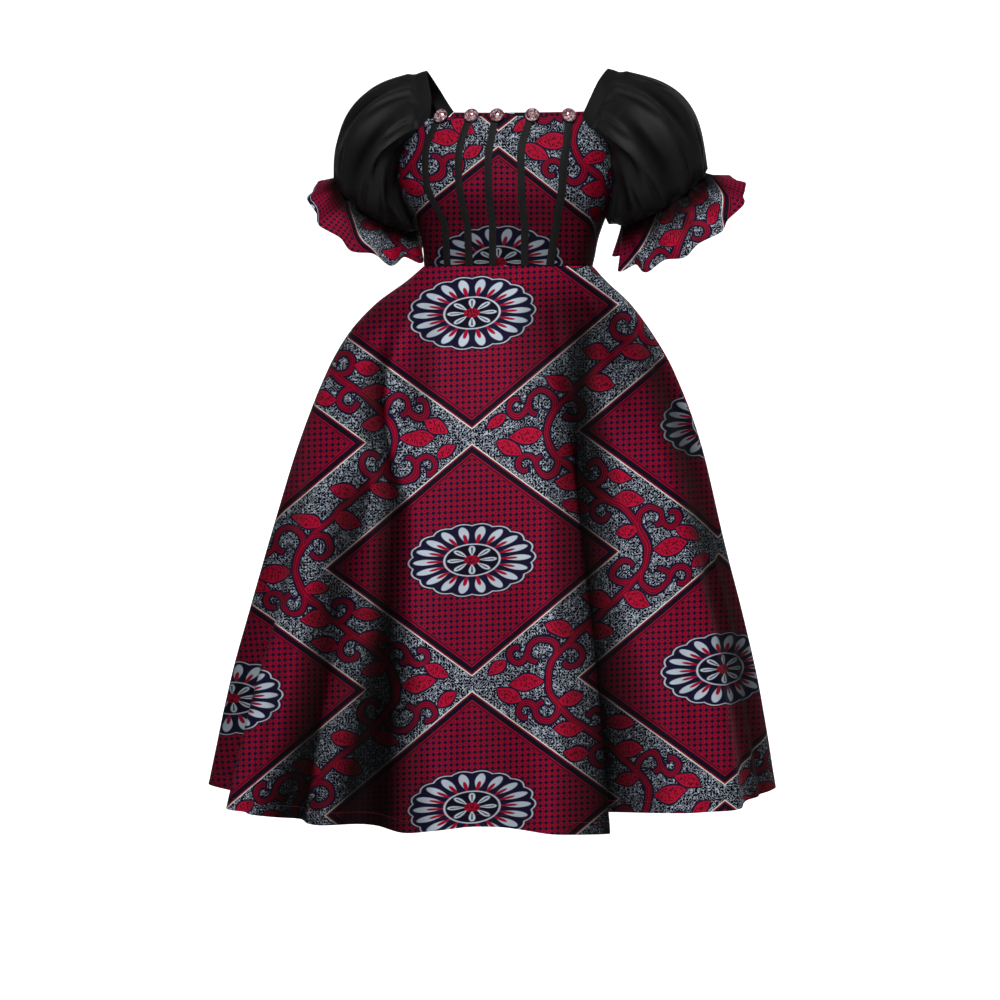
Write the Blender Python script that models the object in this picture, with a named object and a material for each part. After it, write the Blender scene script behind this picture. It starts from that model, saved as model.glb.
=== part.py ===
import math

import bmesh
import bpy
import numpy as np
from mathutils import Matrix, Vector

# A worn wax-print dress, hollow, in metres. +X is the wearer's left, the front faces -Y,
# and the origin is midway between the tops of the two shoulder straps.

# Driving sizes
WAIST_Z = -0.300
HEM_Z = -1.105
CLOTH = 0.0020
SLEEVE_CLOTH = 0.0016
TAPE_CLOTH = 0.0010
BAG_CLOTH = 0.0012
ZIP_TAPE_CLOTH = 0.0008
SEAM = 0.0003
SIDE_GAP = math.degrees(SEAM / 2 / 0.14)  # half of a seam gap, in degrees round the body
TAPE_GAP = 0.0007
ZIP_END_Z = -0.450
ZIP_TAPE_WIDTH = 0.024
PULL_BAR_Z = -0.0745
PULL_BAR_OUT = 0.0035
TAPE_WIDTH = 0.0112
BUTTON_RADIUS = 0.0105
BUTTON_THICK = 0.0026
CRYSTAL_RADIUS = 0.0096

# How finely each piece is divided
ARMHOLE_STEPS = 11
STRAP_STEPS = 10
NECK_STEPS = 14
BACK_NECK_STEPS = 7
BODICE_ROWS = 9
SKIRT_ROWS = 13
BACK_COLUMNS = 21
RUFFLE_COLUMNS = 66


def table(columns, *rows):
    return {name: np.array([row[i] for row in rows], float) for i, name in enumerate(columns.split())}


# Level sections of the torso, from the waist up. Squareness 2 is an ellipse
TORSO = table(
    "z half_width front back centre_x centre_y squareness",
    (-0.300, 0.1300, 0.098, 0.092, -0.010, -0.020, 2.15),
    (-0.262, 0.1355, 0.104, 0.094, -0.009, -0.020, 2.20),
    (-0.237, 0.1425, 0.110, 0.097, -0.008, -0.019, 2.25),
    (-0.217, 0.1530, 0.117, 0.101, -0.010, -0.018, 2.30),
    (-0.183, 0.1665, 0.127, 0.106, -0.011, -0.017, 2.30),
    (-0.145, 0.1730, 0.129, 0.109, -0.009, -0.015, 2.30),
    (-0.105, 0.1730, 0.119, 0.108, -0.005, -0.012, 2.30),
    (-0.055, 0.1680, 0.101, 0.101, -0.001, -0.008, 2.30),
)

# Level sections of the skirt, from the hem up
SKIRT = table(
    "z half_width front back centre_x centre_y squareness",
    (-1.120, 0.4540, 0.385, 0.378, -0.044, 0.000, 2.00),
    (-0.942, 0.4180, 0.353, 0.347, -0.038, 0.000, 2.00),
    (-0.818, 0.3860, 0.321, 0.318, -0.033, -0.002, 2.00),
    (-0.694, 0.3510, 0.291, 0.287, -0.030, -0.006, 2.00),
    (-0.570, 0.3140, 0.258, 0.252, -0.027, -0.010, 2.00),
    (-0.462, 0.2710, 0.221, 0.213, -0.025, -0.014, 2.00),
    (-0.408, 0.2390, 0.194, 0.185, -0.024, -0.016, 2.00),
    (-0.358, 0.1970, 0.158, 0.150, -0.019, -0.018, 2.05),
    (-0.322, 0.1530, 0.120, 0.113, -0.013, -0.020, 2.10),
    (-0.300, 0.1300, 0.098, 0.092, -0.010, -0.020, 2.15),
)

# Troughs of the skirt. Angles are in degrees from the centre front toward +X, at the hem and
# where the trough starts. Left and right are its reach on each side, and tuck rolls its left rim over it
FOLDS = table(
    "hem top start_z depth left right tuck",
    (6, 4, -0.560, 0.072, 14, 22, 0.0),
    (35, 33, -0.400, 0.116, 7, 28, 3.0),
    (-17, -37, -0.370, 0.022, 9, 9, 0.0),
    (-69, -62, -0.480, 0.060, 15, 15, 0.0),
    (73, 70, -0.560, 0.020, 9, 8, 0.0),
    (103, 96, -0.520, 0.045, 12, 13, 0.0),
    (127, 124, -0.420, 0.030, 10, 10, 0.0),
    (150, 152, -0.480, 0.070, 12, 15, 1.5),
    (184, 182, -0.540, 0.045, 14, 13, 0.0),
    (209, 211, -0.400, 0.080, 10, 15, 2.0),
    (231, 232, -0.500, 0.032, 10, 9, 0.0),
    (250, 254, -0.560, 0.042, 10, 10, 0.0),
)

# How far the hem drops below its level, by angle
HEM_DROP = table(
    "angle drop",
    (-180, 0.000),
    (-115, 0.004),
    (-90, 0.010),
    (-62, 0.014),
    (-30, 0.008),
    (0, 0.009),
    (28, 0.010),
    (38, 0.002),
    (70, 0.000),
    (180, 0.000),
)

# Top edge of the bodice outside the neckline, by angle from the centre front or back
FRONT_EDGE = table(
    "angle z",
    (40, -0.077),
    (46, -0.093),
    (59, -0.111),
    (68, -0.138),
    (78, -0.170),
    (86, -0.205),
    (90, -0.222),
)
BACK_EDGE = table(
    "angle z",
    (38, -0.060),
    (44, -0.076),
    (57, -0.098),
    (67, -0.130),
    (77, -0.167),
    (86, -0.205),
    (90, -0.222),
)

# Shoulder strap between the bodice corners, front to back, one side
STRAP = table(
    "inner_x inner_y inner_z outer_x outer_y outer_z",
    (0.1215, -0.068, -0.049, 0.1385, -0.071, -0.059),
    (0.1320, -0.036, -0.018, 0.1490, -0.038, -0.025),
    (0.1410, 0.000, 0.000, 0.1570, 0.000, -0.005),
    (0.1370, 0.036, -0.012, 0.1535, 0.038, -0.019),
    (0.1260, 0.066, -0.036, 0.1430, 0.070, -0.046),
)

# Rings at the cuff seam and at the ruffle's hem. Tilt is the rise of the outer end, lean is how far
# the ring's front drops along the arm, both in degrees
SIDES = {
    "left": dict(
        sign=1, cuff_x=0.226, cuff_z=-0.198, cuff_long=0.0745, cuff_deep=0.068, tilt=30, lean=15,
        hem_x=0.252, hem_z=-0.234, hem_long=0.113, hem_deep=0.102, hem_tilt=30, hem_lean=29,
        waves=11, wave_phase=20,
    ),
    "right": dict(
        sign=-1, cuff_x=0.219, cuff_z=-0.203, cuff_long=0.0745, cuff_deep=0.068, tilt=34, lean=15,
        hem_x=0.234, hem_z=-0.229, hem_long=0.101, hem_deep=0.098, hem_tilt=33, hem_lean=25,
        waves=10, wave_phase=75,
    ),
}

# Fullness of a puff by the angle round the arm: 0 on the shoulder, 90 in front, 180 under the arm
PUFF = table(
    "angle rise start turn_in end",
    (0, 14, 0.290, 30, 0.300),
    (45, 40, 0.260, 45, 0.270),
    (90, 58, 0.220, 58, 0.230),
    (140, 62, 0.130, 58, 0.130),
    (180, 60, 0.070, 55, 0.060),
    (220, 62, 0.130, 58, 0.130),
    (270, 58, 0.220, 58, 0.230),
    (315, 40, 0.260, 45, 0.270),
    (360, 14, 0.290, 30, 0.300),
)
PUFF_ROWS = (0.0, 0.06, 0.15, 0.28, 0.43, 0.59, 0.75, 0.88, 0.96, 1.0)
GATHERS = 12
GATHER_DEPTH = 0.0042

# Soft troughs of the puffs: angle round the arm at the armhole and at the cuff, the stretch that each
# takes between them, its depth, and its reach in degrees
PUFF_FOLDS = table(
    "top_angle cuff_angle start end depth reach",
    (20, 42, 0.02, 0.80, 0.010, 13),
    (52, 72, 0.05, 0.95, 0.013, 14),
    (84, 100, 0.00, 0.70, 0.009, 13),
    (112, 128, 0.20, 1.00, 0.010, 14),
    (250, 262, 0.05, 0.90, 0.012, 14),
    (288, 300, 0.10, 1.00, 0.011, 13),
    (325, 318, 0.00, 0.75, 0.010, 13),
)

# Pocket bag, from its mouth in the side seam forward inside the skirt. Turn and spread are degrees
# round the skirt, inset is the depth under the skirt's inner face
POCKET = table(
    "turn spread z height inset half_thick",
    (90.0, 4.40, -0.450, 0.082, 0.0022, 0.0000),
    (88.0, 3.60, -0.452, 0.083, 0.0095, 0.0060),
    (83.5, 1.70, -0.460, 0.088, 0.0180, 0.0130),
    (76.0, 0.00, -0.475, 0.094, 0.0205, 0.0160),
    (66.0, 0.00, -0.493, 0.094, 0.0210, 0.0165),
    (57.0, 0.00, -0.507, 0.080, 0.0195, 0.0140),
    (50.5, 0.00, -0.516, 0.050, 0.0170, 0.0090),
)
POCKET_RING = 16
POCKET_TIP = (47.5, -0.519, 0.0155)
MOUTH_TOP, MOUTH_END = -0.375, -0.525
MOUTH_HALF_ANGLE = 3.2
METRES_A_DEGREE = 0.0046  # round the skirt, at the pockets' height

# Tapes and buttons on the bodice front: places across it at five heights, from the centre front
TAPES = table(
    "neck bust under mid waist button",
    (-0.1020, -0.1120, -0.1060, -0.0830, -0.0800, -0.0950),
    (-0.0520, -0.0580, -0.0540, -0.0470, -0.0440, -0.0470),
    (-0.0110, -0.0120, -0.0090, -0.0080, -0.0080, -0.0080),
    (0.0410, 0.0360, 0.0400, 0.0400, 0.0400, 0.0450),
    (0.0990, 0.1000, 0.0990, 0.0850, 0.0760, 0.0980),
)
TAPE_HEIGHTS = dict(neck=-0.086, bust=-0.122, under=-0.178, mid=-0.240, waist=-0.2992)
TAPE_TOP = -0.0800
BUTTON_Z = -0.0768
BUTTON_RISE = 0.0035  # from where its slope is read, under the bodice's edge, up to its middle

TORSO_MIDDLE = np.array([0, -0.02, -0.18])

COLOURS = {
    "wax print": (0.25, 0.02, 0.05, 1),
    "black cloth": (0.010, 0.010, 0.012, 1),
    "black plastic": (0.008, 0.008, 0.009, 1),
    "pink crystal": (0.62, 0.30, 0.34, 1),
    "dark metal": (0.06, 0.06, 0.07, 1),
}


def read(rows, key, name, at):
    """The column's value at the key, on a smooth curve that doesn't overshoot its rows."""
    order = np.argsort(rows[key])
    x, y = rows[key][order], rows[name][order]
    step = np.diff(x)
    slope = np.diff(y) / step
    tangent = np.empty(len(x))
    tangent[0], tangent[-1] = slope[0], slope[-1]
    same_way = slope[:-1] * slope[1:] > 0
    safe = np.where(same_way, slope[:-1] + slope[1:], 1)
    tangent[1:-1] = np.where(same_way, 2 * slope[:-1] * slope[1:] / safe, 0)
    at = np.clip(np.asarray(at, float), x[0], x[-1])
    i = np.clip(np.searchsorted(x, at) - 1, 0, len(x) - 2)
    t = (at - x[i]) / step[i]
    start, end = tangent[i] * step[i], tangent[i + 1] * step[i]
    return (
        y[i] * (1 + 2 * t) * (1 - t) ** 2
        + start * t * (1 - t) ** 2
        + y[i + 1] * t * t * (3 - 2 * t)
        - end * t * t * (1 - t)
    )


def unit(v):
    return v / np.maximum(np.linalg.norm(v, axis=-1, keepdims=True), 1e-12)


def smooth_step(t):
    t = np.clip(t, 0, 1)
    return t * t * (3 - 2 * t)


def bump(t):
    """1 in the middle, 0 from -1 and 1 outward."""
    return np.clip(1 - np.asarray(t) ** 2, 0, 1) ** 2


def section_point(rows, angle, z):
    """A point of a level section, by degrees from the centre front toward +X."""
    angle, z = np.broadcast_arrays(np.asarray(angle, float), np.asarray(z, float))
    sine, cosine = np.sin(np.radians(angle)), np.cos(np.radians(angle))
    power = 2 / read(rows, "z", "squareness", z)
    depth = np.where(cosine > 0, read(rows, "z", "front", z), read(rows, "z", "back", z))
    across = read(rows, "z", "half_width", z) * np.sign(sine) * np.abs(sine) ** power
    forward = depth * np.sign(cosine) * np.abs(cosine) ** power
    x = read(rows, "z", "centre_x", z) + across
    y = read(rows, "z", "centre_y", z) - forward
    return np.stack([x, y, z], axis=-1)


def torso_point(angle, z):
    return section_point(TORSO, angle, z)


def skirt_point(angle, z):
    """The outer face of the skirt, with its troughs."""
    angle, z = np.broadcast_arrays(np.asarray(angle, float), np.asarray(z, float))
    inward = np.zeros(angle.shape)
    roll = np.zeros(angle.shape)
    for i in range(len(FOLDS["hem"])):
        fold = {name: column[i] for name, column in FOLDS.items()}
        down = np.clip((z - fold["start_z"]) / (HEM_Z - fold["start_z"]), 0, 1)
        grown = down ** 0.9 * smooth_step(down * 2.5)
        centre = fold["top"] + (fold["hem"] - fold["top"]) * down
        away = (angle - centre + 180) % 360 - 180
        reach = np.where(away < 0, fold["left"], fold["right"])
        inward += fold["depth"] * grown * bump(away / reach)
        rim = bump((away + fold["left"]) / fold["left"])
        floor = bump(away / fold["left"])
        roll += fold["tuck"] * grown * (rim - floor)
    point = section_point(SKIRT, angle + roll, z)
    centre = section_point(SKIRT, 0, z)
    centre[..., 1] = read(SKIRT, "z", "centre_y", z)
    centre[..., 2] = z
    return point - unit(point - centre) * inward[..., None]


def normal_of(surface, angle, z):
    """The outward normal of a surface given by angle and height."""
    around = surface(angle + 0.4, z) - surface(angle - 0.4, z)
    up = surface(angle, z + 0.001) - surface(angle, z - 0.001)
    return unit(np.cross(around, up))


def front_top(angle):
    return np.where(np.abs(angle) <= 40, -0.077, read(FRONT_EDGE, "angle", "z", np.abs(angle)))


def back_top(angle):
    off_centre = 180 - np.abs(angle)
    return np.where(off_centre <= 38, -0.060, read(BACK_EDGE, "angle", "z", off_centre))


def even_steps(curve, start, end, count):
    """Parameters from start to end that cut a curve into equal lengths."""
    fine = np.linspace(start, end, 400)
    points = curve(fine)
    run = np.concatenate([[0], np.cumsum(np.linalg.norm(np.diff(points, axis=0), axis=1))])
    return np.interp(np.linspace(0, run[-1], count + 1), run, fine)


def front_edge_curve(angle):
    return torso_point(angle, front_top(angle))


def back_edge_curve(angle):
    return torso_point(180 - angle, back_top(180 - angle))


# Angles of the columns that the bodice and the sleeves share along the armholes
FRONT_ARM = even_steps(front_edge_curve, 46, 90, ARMHOLE_STEPS)
BACK_ARM = even_steps(back_edge_curve, 44, 90, ARMHOLE_STEPS)


def grid_normals(points, inside, closed):
    if closed:
        around = np.roll(points, -1, axis=1) - np.roll(points, 1, axis=1)
    else:
        around = np.gradient(points, axis=1)
    normals = unit(np.cross(around, np.gradient(points, axis=0)))
    facing = np.sum(normals * (points - inside))
    return normals if facing > 0 else -normals


def material(name):
    found = bpy.data.materials.get(name)
    if found:
        return found
    made = bpy.data.materials.new(name)
    made.use_nodes = True
    shader = made.node_tree.nodes["Principled BSDF"]
    shader.inputs["Base Color"].default_value = COLOURS[name]
    shader.inputs["Roughness"].default_value = {"pink crystal": 0.08, "black plastic": 0.3}.get(name, 0.7)
    shader.inputs["Metallic"].default_value = 1.0 if name == "dark metal" else 0.0
    return made


def add_object(name, vertices, faces, finish, smooth=True):
    mesh = bpy.data.meshes.new(name)
    mesh.from_pydata([tuple(map(float, v)) for v in vertices], [], [tuple(map(int, f)) for f in faces])
    edit = bmesh.new()
    edit.from_mesh(mesh)
    bmesh.ops.recalc_face_normals(edit, faces=edit.faces)
    edit.to_mesh(mesh)
    edit.free()
    if smooth:
        mesh.shade_smooth()
        mesh.set_sharp_from_angle(angle=math.radians(50))
    mesh.materials.append(material(finish))
    made = bpy.data.objects.new(name, mesh)
    bpy.context.scene.collection.objects.link(made)
    return made


def cloth_wall(name, outer, thickness, finish, normals, closed=False):
    """A closed wall: the outer points, the same moved in by the thickness, and the edges between."""
    rows, columns = outer.shape[:2]
    inner = outer - thickness * normals
    vertices = np.concatenate([outer.reshape(-1, 3), inner.reshape(-1, 3)])
    under = rows * columns
    last = columns if closed else columns - 1
    faces = []
    for r in range(rows - 1):
        for c in range(last):
            n = (c + 1) % columns
            a, b, d, e = r * columns + c, r * columns + n, (r + 1) * columns + n, (r + 1) * columns + c
            faces += [(a, b, d, e), (under + e, under + d, under + b, under + a)]
    for r, turn in ((0, 1), (rows - 1, -1)):
        for c in range(last):
            a, b = r * columns + c, r * columns + (c + 1) % columns
            faces.append((b, a, under + a, under + b)[::turn])
    if not closed:
        for c, turn in ((0, -1), (columns - 1, 1)):
            for r in range(rows - 1):
                a, b = r * columns + c, (r + 1) * columns + c
                faces.append((b, a, under + a, under + b)[::turn])
    return add_object(name, vertices, faces, finish)


def surface_panel(name, surface, angles, z, finish):
    """A panel on a surface given by angle and height. Its neighbours' edges share its normals."""
    angles, z = np.broadcast_arrays(angles, z)
    cloth_wall(name, surface(angles, z), CLOTH, finish, normal_of(surface, angles, z))


def bodice_heights(angles, top):
    share = np.linspace(0, 1, BODICE_ROWS + 1)[:, None]
    bottom = WAIST_Z + SEAM / 2
    return bottom + (top(angles)[None, :] - bottom) * share




def front_angles():
    side = np.concatenate([np.linspace(0, 40, NECK_STEPS // 2 + 1)[1:], FRONT_ARM])
    side[-1] -= SIDE_GAP
    return np.concatenate([-side[::-1], [0], side])


def back_angles():
    side = np.concatenate([np.linspace(0, 38, BACK_NECK_STEPS + 1), BACK_ARM])
    side[0] += SIDE_GAP
    side[-1] -= SIDE_GAP
    return 180 - side[::-1]


def make_bodice():
    front, half = front_angles(), back_angles()
    surface_panel("bodice_front", torso_point, front, bodice_heights(front, front_top), "wax print")
    for side in SIDES:
        angles = SIDES[side]["sign"] * half
        heights = bodice_heights(angles, back_top)
        surface_panel("bodice_back_" + side, torso_point, angles, heights, "wax print")


def strap_edges(sign):
    """The strap's inner and outer edges from front to back, as two rows of points."""
    edges = []
    for edge, front_angle, back_angle in (("inner", 40, 38), ("outer", 46, 44)):
        front = torso_point(sign * front_angle, front_top(front_angle))
        back = torso_point(sign * (180 - back_angle), back_top(180 - back_angle))
        middle = np.stack([STRAP[edge + "_" + axis] for axis in "xyz"], axis=-1)
        middle[:, 0] *= sign
        points = np.concatenate([[front], middle, [back]])
        run = np.concatenate([[0], np.cumsum(np.linalg.norm(np.diff(points, axis=0), axis=1))])
        rows = dict(run=run / run[-1], x=points[:, 0], y=points[:, 1], z=points[:, 2])

        def curve(t, rows=rows):
            return np.stack([read(rows, "run", axis, t) for axis in "xyz"], axis=-1)

        edges.append(curve(even_steps(curve, 0, 1, 2 * STRAP_STEPS)))
    return edges


def make_strap(side):
    sign = SIDES[side]["sign"]
    inner, outer = strap_edges(sign)
    grid = np.stack([inner, outer], axis=0)
    for end, nearer in ((0, 1), (-1, -2)):
        grid[:, end] += unit(grid[:, nearer] - grid[:, end]) * SEAM * 2.8
    normals = grid_normals(grid, np.array([0.12 * sign, 0, -0.30]), False)
    cloth_wall("strap_" + side, grid, CLOTH, "black cloth", normals)


def armhole(sign):
    """Points round the armhole from the shoulder top, down the front, and up the back,
    with the outward normal of what they edge and the way that leads off that edge."""
    _, strap = strap_edges(sign)
    front = torso_point(sign * FRONT_ARM, front_top(FRONT_ARM))
    back = torso_point(sign * (180 - BACK_ARM), back_top(180 - BACK_ARM))
    loop = np.concatenate([strap[STRAP_STEPS:0:-1], front, back[-2::-1], strap[-2:STRAP_STEPS:-1]])
    front_normals = normal_of(torso_point, sign * FRONT_ARM, front_top(FRONT_ARM))
    back_normals = normal_of(torso_point, sign * (180 - BACK_ARM), back_top(180 - BACK_ARM))
    inner, _ = strap_edges(sign)
    along = np.gradient(strap, axis=0)
    up = unit(np.cross(inner - strap, along))
    up *= np.sign(up[:, 2:3])
    normals = np.concatenate(
        [up[STRAP_STEPS:0:-1], front_normals, back_normals[-2::-1], up[-2:STRAP_STEPS:-1]]
    )
    edge = unit(np.roll(loop, -1, axis=0) - np.roll(loop, 1, axis=0))
    off = unit(np.cross(edge, normals))
    off *= np.sign(off @ np.array([sign, 0, 0.6]))[:, None]
    return loop, normals, off


def ring(sizes, which, angle):
    """Points of the cuff's ring or the ruffle hem's ring, by degrees from its outer end to its
    front, and the way out from its centre at each."""
    sign = sizes["sign"]
    if which == "cuff":
        centre = np.array([sign * sizes["cuff_x"], 0.004, sizes["cuff_z"]])
        long, deep, tilt, lean = sizes["cuff_long"], sizes["cuff_deep"], sizes["tilt"], sizes["lean"]
    else:
        centre = np.array([sign * sizes["hem_x"], 0.006, sizes["hem_z"]])
        long, deep, tilt, lean = sizes["hem_long"], sizes["hem_deep"], sizes["hem_tilt"], sizes["hem_lean"]
    tilt, lean = math.radians(tilt), math.radians(lean)
    outer = np.array([sign * math.cos(tilt), 0, math.sin(tilt)])
    down = np.array([sign * math.sin(tilt), 0, -math.cos(tilt)])
    front = np.array([0, -math.cos(lean), 0]) + down * math.sin(lean)
    turn = np.radians(angle)[..., None]
    radial = outer * long * np.cos(turn) + front * deep * np.sin(turn)
    return centre + radial, unit(radial)


def way_down_arm(sizes):
    """The way that the cuff faces."""
    tilt = math.radians(sizes["tilt"])
    return unit(np.array([sizes["sign"] * math.sin(tilt), 0.22, -math.cos(tilt)]))


def puff_grid(side):
    sizes = SIDES[side]
    sign = sizes["sign"]
    loop, normals, off = armhole(sign)
    count = len(loop)
    run = np.linalg.norm(loop - np.roll(loop, 1, axis=0), axis=1)
    run[0] = 0
    run = np.cumsum(run)
    half = STRAP_STEPS + ARMHOLE_STEPS
    total = run[-1] + np.linalg.norm(loop[0] - loop[-1])
    second_half = 180 + 180 * (run - run[half]) / (total - run[half])
    angle = np.where(run <= run[half], 180 * run / run[half], second_half)
    cuff, _ = ring(sizes, "cuff", angle)
    arm_axis = unit(np.array([sign * 0.93, 0.05, -0.36]))
    cuff_axis = way_down_arm(sizes)
    middle = loop.mean(axis=0)
    away = loop - middle
    away = unit(away - (away @ arm_axis)[:, None] * arm_axis)
    cuff_middle = ring(sizes, "cuff", np.linspace(0, 350, 36))[0].mean(axis=0)
    out = cuff - cuff_middle
    out = unit(out - (out @ cuff_axis)[:, None] * cuff_axis)
    rise = np.radians(read(PUFF, "angle", "rise", angle))[:, None]
    turn_in = np.radians(read(PUFF, "angle", "turn_in", angle))[:, None]
    leave = arm_axis * np.cos(rise) + away * np.sin(rise)
    arrive = cuff_axis * np.cos(turn_in) - out * np.sin(turn_in)
    start = loop + unit(off + leave) * (SEAM + 0.0001)
    end = cuff - cuff_axis * SEAM / 2
    v = np.array(PUFF_ROWS)[:, None, None]
    first = read(PUFF, "angle", "start", angle)[:, None] * leave
    last = read(PUFF, "angle", "end", angle)[:, None] * arrive
    points = (
        start * (1 + 2 * v) * (1 - v) ** 2
        + first * v * (1 - v) ** 2
        + end * v * v * (3 - 2 * v)
        - last * v * v * (1 - v)
    )
    inside = (middle + cuff_middle) / 2
    normals = grid_normals(points, inside, True)
    rows = v[:, :, 0]
    near_ends = np.exp(-rows / 0.10) + np.exp(-(1 - rows) / 0.10)
    sewn = smooth_step(rows / 0.05) * smooth_step((1 - rows) / 0.03)
    lift = GATHER_DEPTH * near_ends * sewn * np.cos(np.radians(GATHERS * angle))[None, :]
    for i in range(len(PUFF_FOLDS["depth"])):
        fold = {name: column[i] for name, column in PUFF_FOLDS.items()}
        centre = fold["top_angle"] + (fold["cuff_angle"] - fold["top_angle"]) * rows
        off_line = (angle[None, :] - centre + 180) % 360 - 180
        middle_share = (fold["start"] + fold["end"]) / 2
        stretch = bump((rows - middle_share) / (fold["end"] - fold["start"]) * 1.7)
        lift -= fold["depth"] * stretch * bump(off_line / fold["reach"]) * smooth_step(rows / 0.1)
    return points + normals * lift[..., None] * sewn[..., None], inside


def make_sleeve(side):
    points, inside = puff_grid(side)
    normals = grid_normals(points, inside, True)
    cloth_wall("sleeve_" + side, points, SLEEVE_CLOTH, "black cloth", normals, closed=True)


def make_ruffle(side):
    sizes = SIDES[side]
    angle = np.arange(RUFFLE_COLUMNS) * 360 / RUFFLE_COLUMNS
    top, _ = ring(sizes, "cuff", angle)
    hem, out = ring(sizes, "hem", angle)
    axis = way_down_arm(sizes)
    wave = np.cos(np.radians(sizes["waves"] * angle + sizes["wave_phase"]))
    wave = wave * (1 + 0.30 * np.cos(np.radians(2 * angle + 40)))
    rows = []
    for v in (0.0, 0.30, 0.65, 1.0):
        row = top + axis * SEAM / 2 + (hem - top) * v
        swell = 0.0085 * v ** 1.2 * wave
        rows.append(row + out * swell[:, None] + axis * (0.004 * v * wave)[:, None])
    points = np.stack(rows)
    normals = grid_normals(points, top.mean(axis=0), True)
    cloth_wall("ruffle_" + side, points, CLOTH, "wax print", normals, closed=True)


def mouth_reach(z):
    """Half of the pocket mouth's width, in degrees, and of the seam elsewhere."""
    t = (z - (MOUTH_TOP + MOUTH_END) / 2) / ((MOUTH_TOP - MOUTH_END) / 2)
    return SIDE_GAP + MOUTH_HALF_ANGLE * np.sqrt(np.clip(1 - t * t, 0, 1))


def skirt_heights():
    share = np.linspace(0, 1, SKIRT_ROWS)
    return (WAIST_Z - SEAM / 2) + (HEM_Z - WAIST_Z + SEAM / 2) * share ** 1.25


def dropped(z, angle):
    """The rows' heights, stretched down to the hem at each angle."""
    angle = (angle + 180) % 360 - 180
    down = ((z - WAIST_Z) / (HEM_Z - WAIST_Z)) ** 3
    return z - read(HEM_DROP, "angle", "drop", angle) * down


def make_skirt():
    z = skirt_heights()[:, None]
    left, steep, right = np.linspace(-90, 21, 30), np.linspace(21, 43, 12), np.linspace(43, 90, 13)
    across = np.concatenate([left, steep[1:], right[1:]])
    angles = across[None, :] * (90 - mouth_reach(z)) / 90
    surface_panel("skirt_front", skirt_point, angles, dropped(z, angles), "wax print")
    for side in ("left", "right"):
        sign = SIDES[side]["sign"]
        share = np.linspace(0, 1, BACK_COLUMNS)[None, :]
        start = 90 + mouth_reach(z)
        end = 180 - SIDE_GAP / 2
        angles = sign * (start + (end - start) * share)
        surface_panel("skirt_back_" + side, skirt_point, angles, dropped(z, angles), "wax print")


def bag_points(sign, row, around, thinner):
    """One ring of the pocket bag, made smaller all round by a thickness."""
    along = row["half_thick"]
    length = math.hypot(row["spread"] * METRES_A_DEGREE, along)
    shrink = max(length - thinner, 0.0003) / length
    turn = row["turn"] + row["spread"] * shrink * np.cos(around)
    inset = row["inset"] + along * shrink * np.cos(around)
    z = row["z"] + (row["height"] - thinner) * np.sin(around)
    outer = skirt_point(sign * turn, z)
    return outer - normal_of(skirt_point, sign * turn, z) * (CLOTH + inset)[..., None]


def make_pocket(side):
    sign = SIDES[side]["sign"]
    around = np.arange(POCKET_RING) * 2 * math.pi / POCKET_RING
    rows = [{name: column[i] for name, column in POCKET.items()} for i in range(len(POCKET["turn"]))]
    outer = [bag_points(sign, row, around, 0.0) for row in rows]
    inner = [bag_points(sign, row, around, BAG_CLOTH) for row in rows]
    turn, z, inset = POCKET_TIP
    tip_base = skirt_point(sign * turn, z)
    tip_normal = normal_of(skirt_point, sign * turn, z)
    tip = tip_base - tip_normal * (CLOTH + inset)
    forward = unit(outer[-1].mean(axis=0) - outer[-2].mean(axis=0))
    vertices = np.concatenate(outer + inner + [[tip], [tip - forward * BAG_CLOTH]])
    count, rings = POCKET_RING, len(rows)
    faces = []
    for shell in (0, rings):
        for r in range(rings - 1):
            for c in range(count):
                n = (c + 1) % count
                a, b = (shell + r) * count, (shell + r + 1) * count
                quad = (a + c, a + n, b + n, b + c)
                faces.append(quad if shell == 0 else quad[::-1])
        last, point = (shell + rings - 1) * count, 2 * rings * count + (shell > 0)
        for c in range(count):
            fan = (last + c, last + (c + 1) % count, point)
            faces.append(fan if shell == 0 else fan[::-1])
    for c in range(count):
        n = (c + 1) % count
        faces.append((n, c, rings * count + c, rings * count + n))
    add_object("pocket_" + side, vertices, faces, "black cloth")


def bodice_normal_at(x, z):
    """The bodice front's point and normal that lie a given way across from the centre front."""
    fine = np.linspace(-89, 89, 713)
    across = torso_point(fine, z)[:, 0] - read(TORSO, "z", "centre_x", z)
    angle = np.interp(x, across, fine)
    return torso_point(angle, z), normal_of(torso_point, angle, z)


def make_tape(number, row):
    heights = np.linspace(TAPE_HEIGHTS["waist"], TAPE_TOP, 13)
    names = list(TAPE_HEIGHTS)
    places = dict(z=np.array([TAPE_HEIGHTS[n] for n in names]), x=np.array([row[n] for n in names]))
    grid = []
    for z in heights:
        middle = float(read(places, "z", "x", z))
        pair = []
        for edge in (-TAPE_WIDTH / 2, 0, TAPE_WIDTH / 2):
            point, normal = bodice_normal_at(middle + edge, z)
            pair.append(point + normal * (TAPE_GAP + TAPE_CLOTH))
        grid.append(pair)
    grid = np.array(grid)
    normals = grid_normals(grid, TORSO_MIDDLE, False)
    cloth_wall(f"tape_{number}", grid, TAPE_CLOTH, "black cloth", normals)


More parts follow.
